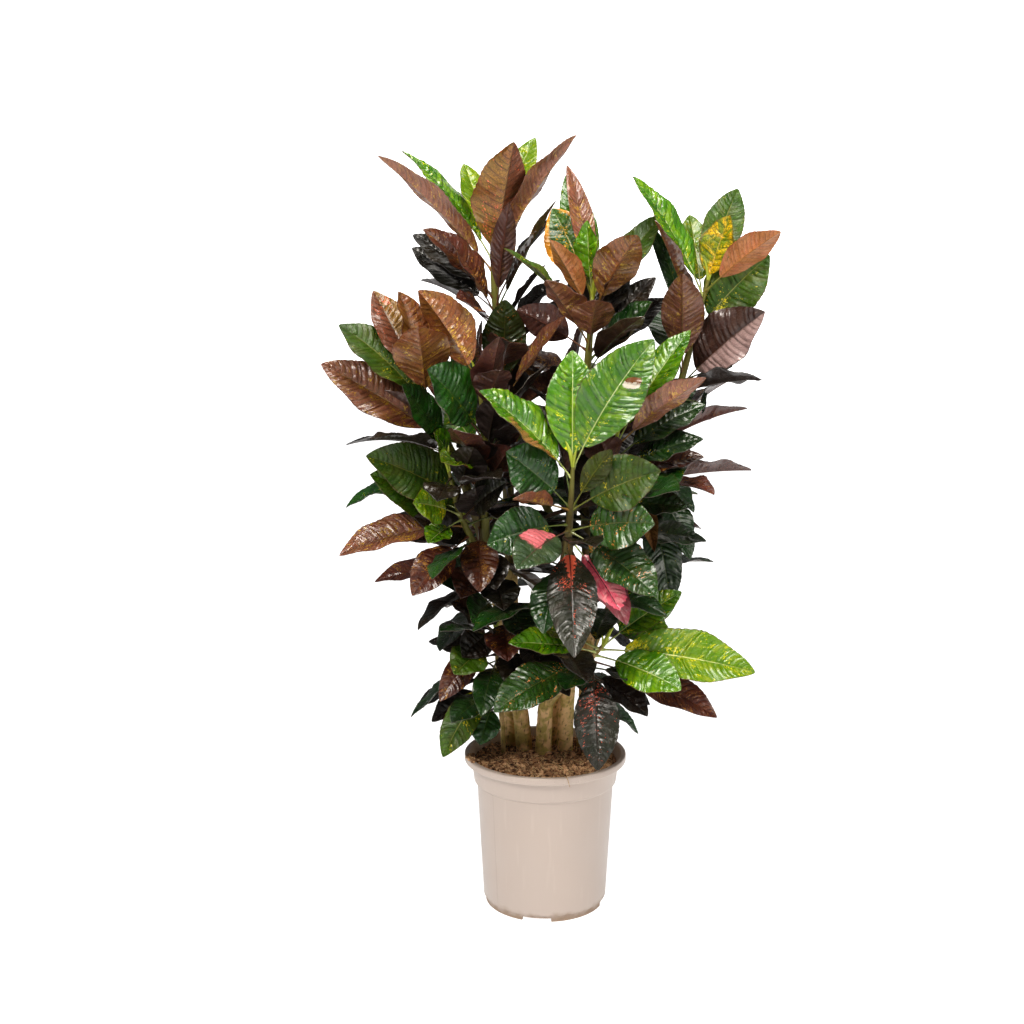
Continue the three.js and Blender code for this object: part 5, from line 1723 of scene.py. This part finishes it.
@dataclass(frozen=True)
class PotFinish:
    """Satin taupe moulded plastic with a dusty foot and faint scuffs."""

    plastic: Colour = srgb(190, 176, 167)
    cloudy: Colour = srgb(188, 170, 156)
    scuff: Colour = srgb(222, 210, 200)
    dust: Colour = srgb(150, 126, 104)
    spill: Colour = srgb(96, 70, 50)
    seam: Colour = srgb(150, 132, 120)
    seam_turn: float = -140.0

    def material(self) -> bpy.types.Material:
        """Makes the material.

        Returns:
            The pot's material.
        """
        p = Paint("taupe_plastic")
        place = p.place()
        x, y, z = p.split(place)
        cloud = p.noise(place, 14.0, 4.0)
        specks = p.noise(place, 900.0, 2.0)
        streak = p.noise(place.stretched(1.0, 1.0, 0.05), 160.0, 3.0)
        foot = (z + p.noise(place, 60.0, 5.0) * -0.02).step(-0.008, 0.006, 0.85, 0.0)
        spill = z.step(0.2, 0.226) * specks.step(0.66, 0.72, 0.0, 0.5)
        turn = p.math("ARCTAN2", y, x) - math.radians(self.seam_turn)
        seam = abs(turn).step(0.004, 0.012, 1.0, 0.0) * z.step(0.186, 0.19, 1.0, 0.0)
        colour = p.mix(cloud.step(0.3, 0.7, 0.0, 0.12), self.plastic, self.cloudy)
        colour = p.mix(streak.step(0.58, 0.75, 0.0, 0.1), colour, self.scuff)
        colour = p.mix(foot, colour, self.dust)
        colour = p.mix(spill, colour, self.spill)
        colour = p.mix(seam * 0.18, colour, self.seam)
        relief = p.relief((specks, 0.00012, 0.25), (seam, 0.0004, 0.6), (cloud, 0.0006, 0.15))
        rough = cloud.step(0.3, 0.7, 0.34, 0.42) + foot * 0.3
        return p.finish(Base_Color=colour, Roughness=rough, Normal=relief, IOR=1.5)


@dataclass(frozen=True)
class PeatFinish:
    """Moist brown peat, its crumbs and its pale fibres."""

    # painted shade: the near-black of the gaps between crumbs
    gap: Colour = srgb(34, 22, 14)
    dark: Colour = srgb(104, 72, 48)
    warm: Colour = srgb(200, 154, 114)
    chip: Colour = srgb(232, 192, 150)
    root: Colour = srgb(112, 74, 44)
    straw: Colour = srgb(240, 208, 158)
    stain: Colour = srgb(86, 58, 36)

    def ground(self) -> bpy.types.Material:
        """Makes the material of the peat's surface and crumbs.

        Returns:
            The material.
        """
        p = Paint("peat_ground")
        tint, place = p.marks("blade")[0], p.place()
        lumps = p.noise(place, 130.0, 6.0, 0.4)
        grain = p.noise(place, 800.0, 4.0)
        colour = p.mix(lumps.step(0.35, 0.7), self.dark, self.warm)
        chips = p.noise(place, 40.0, 2.0).step(0.35, 0.6, 0.3, 1.0)
        for stretch in ((1.0, 0.4, 1.0), (0.42, 1.0, 1.0)):
            cell = p.split(p.cells(place.stretched(*stretch), 380.0, "F1", "Color"))[0]
            colour = p.mix(chips * cell.step(0.72, 0.95, 0.0, 0.85), colour, self.chip)
            # Painted shade: random cells go near-black as if in the gaps between crumbs
            colour = p.mix(cell.step(0.05, 0.3, 0.7, 0.0), colour, self.gap)
        colour = p.mix(tint.step(0.55, 0.95, 0.0, 0.75), colour, self.chip)
        # Painted shade: fine grains go near-black the same way
        colour = p.mix(grain.step(0.25, 0.45, 0.6, 0.0), colour, self.gap)
        relief = p.relief((grain, 0.0012, 0.8), (lumps, 0.003, 0.7))
        rough = lumps.step(0.2, 0.8, 0.95, 0.75)
        return p.finish(Base_Color=colour, Roughness=rough, Normal=relief)

    def fibre(self) -> bpy.types.Material:
        """Makes the material of the straws and roots.

        Returns:
            The material.
        """
        p = Paint("peat_straw")
        tint, wear, _ = p.marks("blade")
        place = p.place()
        colour = p.mix(tint, self.root, self.straw)
        stains = p.noise(place, 500.0, 3.0).step(0.45, 0.65, 0.0, 0.5)
        colour = p.mix(stains, colour, self.stain)
        relief = p.relief((p.noise(place, 1200.0, 2.0), 0.0003, 0.5))
        rough = wear.step(0.0, 1.0, 0.6, 0.8)
        return p.finish(Base_Color=colour, Roughness=rough, Normal=relief)


@dataclass(frozen=True)
class FloorFinish:
    """A plain white studio floor that is lit evenly up to its far edge."""

    light: Colour = (0.42, 0.42, 0.42)
    dark: Colour = (0.4, 0.4, 0.4)
    near_glow: float = 0.78
    far_glow: float = 1.0

    def material(self) -> bpy.types.Material:
        """Makes the material.

        Returns:
            The floor's material.
        """
        p = Paint("pale_floor")
        place = p.place()
        x, y, _ = p.split(place)
        colour = p.mix(p.noise(place, 3.0, 2.0).step(0.3, 0.7), self.light, self.dark)
        away = p.math("SQRT", x * x + y * y)
        glow = away.step(0.4, 2.6, self.near_glow, self.far_glow)
        p.finish(Base_Color=colour, Roughness=0.85, Specular_IOR_Level=0.2)
        return p.finish(Emission_Color=(1.0, 1.0, 1.0), Emission_Strength=glow)


@dataclass(frozen=True)
class SurroundFinish:
    """The evenly lit white paper that hangs round the studio."""

    tone: Colour = (0.9, 0.9, 0.9)
    glow: tuple[float, float] = (1.05, 1.1)

    def material(self) -> bpy.types.Material:
        """Makes the material.

        Returns:
            The paper's material.
        """
        p = Paint("white_surround")
        glow = p.noise(p.place(), 0.4, 1.0).step(0.0, 1.0, *self.glow)
        p.finish(Base_Color=self.tone, Roughness=0.9, Emission_Color=(1.0, 1.0, 1.0))
        return p.finish(Emission_Strength=glow)


@dataclass
class Pot:
    """The round nursery pot: a turned wall, a lip, a step, a notched foot and drain holes."""

    height: float = 228.0
    lip_radius: float = 119.0
    lip_height: float = 11.0
    lip_width: float = 5.5
    lip_round: float = 1.6
    band_top: float = 108.4
    band_bottom: float = 104.8
    step_height: float = 184.0
    step_slope: float = 3.0
    body_top: float = 100.4
    body_bottom: float = 91.0
    foot_radius: float = 88.0
    foot_width: float = 4.5
    foot_height: float = 9.0
    floor_underside: float = 6.0
    floor_top: float = 10.2
    wall: float = 2.2
    notch_count: int = 4
    notch_width: float = 43.0
    notch_height: float = 5.5
    notch_turn: float = -99.0
    notch_side: float = 0.002
    drain_count: int = 6
    drain_radius: float = 6.0
    drain_circle: float = 58.0
    drain_turn: float = 22.5
    drain_sides: int = 24
    drain_cut: tuple[float, float] = (2.0, 20.0)
    segments: int = 144
    crease: float = 40.0

    def __post_init__(self) -> None:
        """Works out where the band and the lip start, and where the notches lie."""
        self.band_foot = self.step_height + self.step_slope
        self.lip_foot = self.height - self.lip_height
        self.notch_half = math.asin(self.notch_width / 2 / self.foot_radius)
        parts = [math.tau * i / self.notch_count for i in range(self.notch_count)]
        self.notches = [math.radians(self.notch_turn) + part for part in parts]

    def inner_radius(self, z: float) -> float:
        """Gives the radius of the pot's inside.

        Args:
            z: a height.

        Returns:
            The radius there.
        """
        if z < self.step_height:
            share = (z - self.foot_height) / (self.step_height - self.foot_height)
            return self.body_bottom + (self.body_top - self.body_bottom) * share - self.wall
        share = (z - self.band_foot) / (self.lip_foot - self.band_foot)
        return self.band_bottom + (self.band_top - self.band_bottom) * share - self.wall

    def profile(self) -> list[tuple[float, float, float]]:
        """Lists the corners of the wall's section, from the floor's underside to its top.

        Returns:
            The radius, the height and the rounding of each corner.
        """
        inside = self.foot_radius - self.foot_width
        lip_in = self.lip_radius - self.lip_width
        step = self.step_height - 1
        return [
            (inside, self.floor_underside, 1.0),
            (inside + 0.6, 0.0, 0.5),
            (self.foot_radius, 0.0, 0.7),
            (self.foot_radius + 0.4, self.foot_height, 0.8),
            (self.body_bottom, self.foot_height + 0.8, 0.8),
            (self.body_top, self.step_height, 0.9),
            (self.band_bottom, self.band_foot, 1.2),
            (self.band_top, self.lip_foot - self.lip_round, 1.2),
            (self.lip_radius - self.lip_round, self.lip_foot, 0.8),
            (self.lip_radius, self.lip_foot + self.lip_round, 1.6),
            (self.lip_radius, self.height, 2.6),
            (lip_in - self.lip_round, self.height, 1.8),
            (self.inner_radius(self.lip_foot), self.lip_foot - self.lip_round, 1.5),
            (self.inner_radius(self.band_foot), self.band_foot, 1.0),
            (self.inner_radius(step), step, 1.0),
            (self.inner_radius(self.floor_top), self.floor_top, 2.0),
        ]

    @staticmethod
    def rounded(corners: Sequence[tuple[float, float, float]]) -> list[tuple[float, float]]:
        """Rounds the corners of a section.

        Args:
            corners: radius, height and rounding of each corner.

        Returns:
            The section's points, with each corner between the first and last rounded.
        """
        points = [corners[0][:2]]
        for before, here, after in zip(corners, corners[1:], corners[2:]):
            corner, size = np.array(here[:2]), here[2]
            back, ahead = np.array(before[:2]) - corner, np.array(after[:2]) - corner
            size = min(size, 0.45 * np.linalg.norm(back), 0.45 * np.linalg.norm(ahead))
            start = corner + back / np.linalg.norm(back) * size
            end = corner + ahead / np.linalg.norm(ahead) * size
            for t in (0.0, 0.25, 0.5, 0.75, 1.0):
                point = start * (1 - t) ** 2 + corner * 2 * t * (1 - t) + end * t**2
                points.append((float(point[0]), float(point[1])))
        return [*points, corners[-1][:2]]

    def turns(self) -> np.ndarray:
        """Gives the angles of the segments, with a close pair at each side of each notch.

        Returns:
            The angles from 0 to a full turn.
        """
        sides = [m + half for m in self.notches for half in (-self.notch_half, self.notch_half)]
        pairs = [(s + d) % math.tau for s in sides for d in (-self.notch_side, self.notch_side)]
        clear = 6 * self.notch_side
        kept = [a for a in around(self.segments) if min(abs(a - b) for b in pairs) > clear]
        return np.array(sorted(kept + pairs))

    def build(self) -> bpy.types.Object:
        """Makes the pot.

        Returns:
            The object that stands for the part's pot.
        """
        section, angles = self.rounded(self.profile()), self.turns()
        off = angles[:, None] - np.array(self.notches) + math.pi
        notched = abs(off % math.tau - math.pi).min(axis=1) < self.notch_half
        rows = []
        for radius, z in section:
            row = level_ring(radius, z, angles)
            if z < self.notch_height and radius < self.body_bottom:
                row[notched, 2] = self.notch_height
            rows.append(row)
        skin = np.vstack([*rows, [[0, 0, self.floor_underside], [0, 0, self.floor_top]]])
        shell = Shell()
        shell.add(skin, closed_faces(len(section), len(angles)))
        pot = shell.build("nursery_pot", [PotFinish().material()], self.crease)
        self.drill(pot)
        return seat(pot, Slot.POT, "pot")

    def drill(self, pot: bpy.types.Object) -> None:
        """Cuts the drain holes in the pot's floor.

        Args:
            pot: the pot's object.
        """
        cutters = Shell()
        for i in range(self.drain_count):
            turn = math.radians(self.drain_turn) + math.tau * i / self.drain_count
            centre = self.drain_circle * np.array([math.cos(turn), math.sin(turn)])
            line = np.array([[*centre, z] for z in self.drain_cut])
            cutters.add(*tube(line, np.full(2, self.drain_radius), self.drain_sides))
        tool = cutters.build("drain_cutter", [])
        cut = pot.modifiers.new("drains", "BOOLEAN")
        cut.operation, cut.object, cut.solver = "DIFFERENCE", tool, "EXACT"
        graph = bpy.context.evaluated_depsgraph_get()
        drilled = bpy.data.meshes.new_from_object(pot.evaluated_get(graph))
        pot.modifiers.clear()
        pot.data = drilled
        drilled.set_sharp_from_angle(angle=math.radians(self.crease))
        bpy.data.objects.remove(tool)


@dataclass
class Peat:
    """The peat in the pot: a crumbly mound, loose crumbs and fibres, and a clump on the lip."""

    pot: Pot
    edge_drop: float = 13.0
    mound: float = 7.0
    lump: float = 2.4
    rough: float = 2.6
    gap: float = 0.3
    wall_gap: float = 0.4
    sides: int = 180
    rings: int = 62
    crumbs: int = 1500
    lip_crumbs: int = 46
    lip_turn: float = -163.0
    lip_spread: float = 6.0
    lip_band: tuple[float, float] = (106.0, 119.5)
    lip_sizes: tuple[float, float] = (0.8, 2.4)
    largest: float = 4.6
    fibres: int = 520
    straw_points: int = 6
    straw_wear: float = 0.5
    straw_length: tuple[float, float] = (4.0, 15.0)
    straw_curl: float = 0.5
    straw_lift: tuple[float, float] = (0.3, 2.2)
    straw_radius: tuple[float, float] = (0.35, 0.85)
    seed: int = 91

    def __post_init__(self) -> None:
        """Seeds how the peat varies."""
        self.random = np.random.default_rng(self.seed)
        self.edge = self.pot.height - self.edge_drop

    def fit(self, z: float) -> float:
        """Returns the peat's radius at a height."""
        return self.pot.inner_radius(z) - self.gap - self.wall_gap

    def top(self, x: float, y: float) -> float:
        """Gives the height of the peat's surface.

        Args:
            x: place across the pot.
            y: place from front to back.

        Returns:
            The height, with lumps and crumbs.
        """
        radius, rim = math.hypot(x, y), self.fit(self.edge)
        base = np.interp(radius, [0, 30, 58, 84, rim - 2.5], [1, 1, 0.85, 0.5, 0]) * self.mound
        lump = math.sin(0.21 * x + 1.3) * math.cos(0.17 * y - 0.4)
        lump += 0.7 * math.sin(0.33 * y + 0.12 * x)
        inside = min(1.0, max(0.0, (rim - radius) / 8))
        rough = noise.fractal(Vector((x * 0.09, y * 0.09, 0.0)), 0.9, 2.1, 5) * self.rough
        return self.edge + base + inside * (self.lump * lump + rough)

    def ground(self) -> bpy.types.Object:
        """Makes the closed body of peat.

        Returns:
            The object that stands for the part's soil.
        """
        turn, rim = around(self.sides), self.fit(self.edge)
        foot, step = self.pot.floor_top + self.gap, self.pot.step_height
        wall = [
            (self.fit(foot), foot),
            (self.fit(step - 1), step - 0.5),
            (self.fit(self.pot.band_foot), self.pot.band_foot + 1.5),
            (self.fit(self.edge - 5), self.edge - 5),
            (rim, self.edge - 2),
        ]
        rows = [level_ring(radius, z, turn) for radius, z in wall]
        for i in range(self.rings):
            radius = rim * (1 - (i + 0.35) / self.rings)
            ring = [(radius * math.cos(a), radius * math.sin(a)) for a in turn]
            rows.append(np.array([(x, y, self.top(x, y)) for x, y in ring]))
        skin = np.vstack([*rows, [[0, 0, foot], [0, 0, self.top(0, 0)]]])
        shell = Shell()
        shell.add(skin, closed_faces(len(rows), self.sides))
        return seat(shell.build("peat_mound", [PeatFinish().ground()]), Slot.PEAT, "soil")

    def loose(self) -> bpy.types.Object:
        """Makes the loose crumbs on the surface and the clump on the lip.

        Returns:
            The object.
        """
        golden = (1 + math.sqrt(5)) / 2
        signs = [(a, b * golden) for b in (1, -1) for a in (-1, 1)]
        ball = [(a, b, 0) for a, b in signs] + [(0, a, b) for a, b in signs]
        ball = np.array(ball + [(b, 0, a) for a, b in signs]) / math.hypot(1, golden)
        faces = np.array([
            (0, 11, 5), (0, 5, 1), (0, 1, 7), (0, 7, 10), (0, 10, 11), (1, 5, 9), (5, 11, 4),
            (11, 10, 2), (10, 7, 6), (7, 1, 8), (3, 9, 4), (3, 4, 2), (3, 2, 6), (3, 6, 8),
            (3, 8, 9), (4, 9, 5), (2, 4, 11), (6, 2, 10), (8, 6, 7), (9, 8, 1),
        ])
        faces = np.hstack([faces, faces[:, 2:]])
        shell, rim = Shell(), self.fit(self.edge) - 3
        for _ in range(self.crumbs):
            x, y = self.somewhere(rim)
            size = min(self.largest, self.random.lognormal(0.25, 0.5))
            self.add_crumb(shell, ball, faces, (x, y, self.top(x, y) + 0.2 * size), size)
        for _ in range(self.lip_crumbs):
            turn = math.radians(self.random.normal(self.lip_turn, self.lip_spread))
            radius = self.random.uniform(*self.lip_band)
            size = self.random.uniform(*self.lip_sizes)
            at = (radius * math.cos(turn), radius * math.sin(turn), self.pot.height + 0.5 * size)
            self.add_crumb(shell, ball, faces, at, size)
        return seat(shell.build("peat_crumbs", [PeatFinish().ground()], 60.0), Slot.PEAT)

    def somewhere(self, rim: float) -> tuple[float, float]:
        """Draws a place on the surface inside a radius."""
        radius, turn = rim * math.sqrt(self.random.random()), self.random.random() * math.tau
        return radius * math.cos(turn), radius * math.sin(turn)

    def add_crumb(
        self, shell: Shell, ball: np.ndarray, faces: np.ndarray, at: Point, size: float
    ) -> None:
        """Adds one crumb.

        Args:
            shell: what gathers the crumbs.
            ball: the corners of a round crumb.
            faces: its faces.
            at: where its middle lies.
            size: its mean radius.
        """
        jag = ball * self.random.uniform(0.65, 1.3, (12, 1)) * self.random.uniform(0.7, 1.35, 3)
        tint = np.tile([[self.random.random(), 0.0, 0.0]], (12, 1))
        shell.add(jag * size + np.array(at), faces, blade=tint)

    def straws(self) -> bpy.types.Object:
        """Makes the fibres and straws that lie in the peat, and the straw over the lip.

        Returns:
            The object.
        """
        shell, rim = Shell(), self.fit(self.edge) - 6
        for _ in range(self.fibres):
            start = np.array(self.somewhere(rim))
            heading = self.random.random() * math.tau
            length = self.random.uniform(*self.straw_length)
            curl = self.random.normal(0, self.straw_curl)
            self.add_straw(shell, start, heading, length, curl, rim + 3)
        over = [
            (18, -99, -2.5), (23, -108, 1.2), (27, -115, 1.3),
            (29, -118.6, -1.5), (30.5, -119.4, -7), (32, -119.1, -12),
        ]
        line = np.array(over, float) + np.array([0.0, 0.0, self.pot.height])
        skin, faces = tube(line, np.linspace(0.9, 0.35, len(over)), 5)
        shell.add(skin, faces, blade=np.tile([[0.45, self.straw_wear, 0.0]], (len(skin), 1)))
        return seat(shell.build("peat_fibres", [PeatFinish().fibre()]), Slot.PEAT)

    def add_straw(
        self, shell: Shell, at: np.ndarray, heading: float, length: float, curl: float, rim: float
    ) -> None:
        """Adds one straw that follows the surface.

        Args:
            shell: what gathers the straws.
            at: its first point, seen from above.
            heading: the way it sets out.
            length: its length.
            curl: how far it turns over its length.
            rim: the radius that it keeps inside.
        """
        line, steps = [], self.straw_points
        lift = self.random.uniform(*self.straw_lift)
        for k in range(steps):
            t, radius = k / (steps - 1), np.linalg.norm(at)
            if radius > rim:
                at = at / radius * rim
            line.append([*at, self.top(*at) + 0.5 + lift * math.sin(math.pi * t)])
            way = heading + curl * t
            at = at + length / steps * np.array([math.cos(way), math.sin(way)])
        thick = self.random.uniform(*self.straw_radius)
        points = np.array(line)
        points[:, 2] = np.convolve(np.pad(points[:, 2], 1, "edge"), np.ones(3) / 3, "valid")
        skin, faces = tube(points, thick * (1 - 0.5 * np.linspace(0, 1, steps)), 5)
        marks = np.tile([[self.random.random(), self.straw_wear, 0.0]], (len(skin), 1))
        shell.add(skin, faces, blade=marks)


@dataclass
class Plant:
    """The croton: fine leaves and bark in the place of each rooted cane's solid."""

    growth: Growth
    canes: tuple[Cane, ...] = CANES
    leaf_seed: int = 300
    wood_seed: int = 500
    leaf_crease: float = 62.0

    def build(self) -> list[bpy.types.Object]:
        """Makes the leaves and the wood of every cane.

        Returns:
            The objects, two for each cane.
        """
        kinds = list(Kind)
        looks = [LEAVES[kind].material(kind) for kind in kinds]
        bark = BarkFinish().material()
        made = []
        for i, cane in enumerate(self.canes):
            leaves, stems = Shell(), Shell()
            skin = LeafSkin(leaves, self.leaf_seed + i)
            for leaf in self.growth.leaves[cane.node]:
                skin.add(leaf, kinds.index(leaf.look))
            wood = WoodSkin(WoodRule(), self.wood_seed + i)
            for stem in cane.stems:
                wood.add(stems, stem)
            name = cane.node.replace("cane_", "leaves_")
            made.append(seat(leaves.build(name, looks, self.leaf_crease), Slot.LEAF, cane.node))
            name = cane.node.replace("cane_", "stems_")
            made.append(seat(stems.build(name, [bark]), Slot.BARK, cane.node))
        return made


@dataclass(frozen=True)
class Panel:
    """A soft light: its name, its place, its width and height in metres, its power in watts."""

    name: str
    at: Point
    size: tuple[float, float]
    power: float


@dataclass
class Studio:
    """A pale floor, a white surround, soft light and the camera."""

    lens: float = 50.0
    sensor: float = 36.0
    camera_place: Point = (-0.049, -2.015, 0.928)
    camera_pitch: float = -9.63
    sky: float = 0.12
    warmth: Colour = (1.0, 0.955, 0.89)
    aim: Point = (0.0, 0.0, 0.55)
    floor_radii: tuple[float, ...] = (8000.0, 1500.0, 200.0)
    surround_radius: float = 8200.0
    sides: int = 64
    panels: tuple[Panel, ...] = (
        Panel("key_panel", (-1.0, -1.9, 2.15), (0.75, 0.75), 36.0),
        Panel("fill_panel", (1.9, -1.3, 1.5), (0.9, 1.2), 14.0),
        Panel("top_panel", (0.1, -0.8, 2.7), (1.1, 0.8), 42.0),
        Panel("back_panel", (0.7, 1.9, 2.9), (1.2, 1.2), 7.0),
    )

    def build(self) -> None:
        """Sets up the whole studio."""
        self.floor()
        self.surround()
        self.sky_light()
        for panel in self.panels:
            self.hang(panel)
        self.camera()
        view = bpy.context.scene.view_settings
        view.view_transform = "Standard"
        view.look = "Medium High Contrast"

    def disc(self, rings: Sequence[tuple[float, float]]) -> Shell:
        """Makes a round sheet from rings and a middle point.

        Args:
            rings: the radius and height of each ring, from the outermost in.

        Returns:
            The gathered sheet.
        """
        turn, ring = around(self.sides), np.arange(self.sides)
        rows = [level_ring(radius, z, turn) for radius, z in rings]
        last = (len(rings) - 1) * self.sides
        middle = np.full(self.sides, last + self.sides)
        ends = np.stack([last + ring, last + (ring + 1) % self.sides, middle, middle], -1)
        skin = np.vstack([*rows, [[0, 0, rings[-1][1]]]])
        shell = Shell()
        shell.add(skin, np.vstack([grid_faces(len(rings), self.sides, True), ends]))
        return shell

    def floor(self) -> None:
        """Lays the pale floor."""
        rings = [(radius, 0.0) for radius in self.floor_radii]
        self.disc(rings).build("floor", [FloorFinish().material()])

    def surround(self) -> None:
        """Hangs the white surround, which is seen but lights nothing."""
        lifts = np.radians(np.linspace(-1, 88, 16))
        radius = self.surround_radius
        rings = [(radius * math.cos(a), radius * math.sin(a)) for a in lifts]
        paper = self.disc(rings).build("white_surround", [SurroundFinish().material()])
        paper.visible_diffuse = paper.visible_glossy = False
        paper.visible_transmission = paper.visible_shadow = False

    def sky_light(self) -> None:
        """Fills the room with even white light."""
        world = bpy.data.worlds.new("white_room")
        world.use_nodes = True
        background = world.node_tree.nodes["Background"]
        background.inputs["Color"].default_value = (1, 1, 1, 1)
        background.inputs["Strength"].default_value = self.sky
        bpy.context.scene.world = world

    def hang(self, panel: Panel) -> None:
        """Hangs a soft light panel that faces the plant.

        Args:
            panel: the panel.
        """
        light = bpy.data.lights.new(panel.name, "AREA")
        light.shape, light.energy, light.color = "RECTANGLE", panel.power, self.warmth
        light.size, light.size_y = panel.size
        piece = bpy.data.objects.new(panel.name, light)
        piece.location = panel.at
        away = Vector(self.aim) - Vector(panel.at)
        piece.rotation_euler = away.to_track_quat("-Z", "Y").to_euler()
        bpy.context.scene.collection.objects.link(piece)

    def camera(self) -> None:
        """Sets the camera at the photograph's viewing angle."""
        data = bpy.data.cameras.new("camera")
        data.lens, data.sensor_width = self.lens, self.sensor
        camera = bpy.data.objects.new("camera", data)
        camera.location = self.camera_place
        camera.rotation_euler = (math.radians(90 + self.camera_pitch), 0.0, 0.0)
        bpy.context.scene.collection.objects.link(camera)
        bpy.context.scene.camera = camera


def report(piece: bpy.types.Object) -> None:
    """Reports a piece's name and how many faces it has."""
    LOG.info("%s: %d faces", piece.name, len(piece.data.polygons))


def main() -> None:
    """Builds the pot, the peat, the plant and the studio."""
    logging.basicConfig(level=logging.INFO, format="%(message)s")
    pot = Pot()
    report(pot.build())
    peat = Peat(pot)
    for build in (peat.ground, peat.loose, peat.straws):
        report(build())
    growth = Growth(CANES, frame["nodes"])
    LOG.info("%d leaves", sum(len(leaves) for leaves in growth.leaves.values()))
    for piece in Plant(growth).build():
        report(piece)
    Studio().build()


if __name__ == "__main__":
    main()
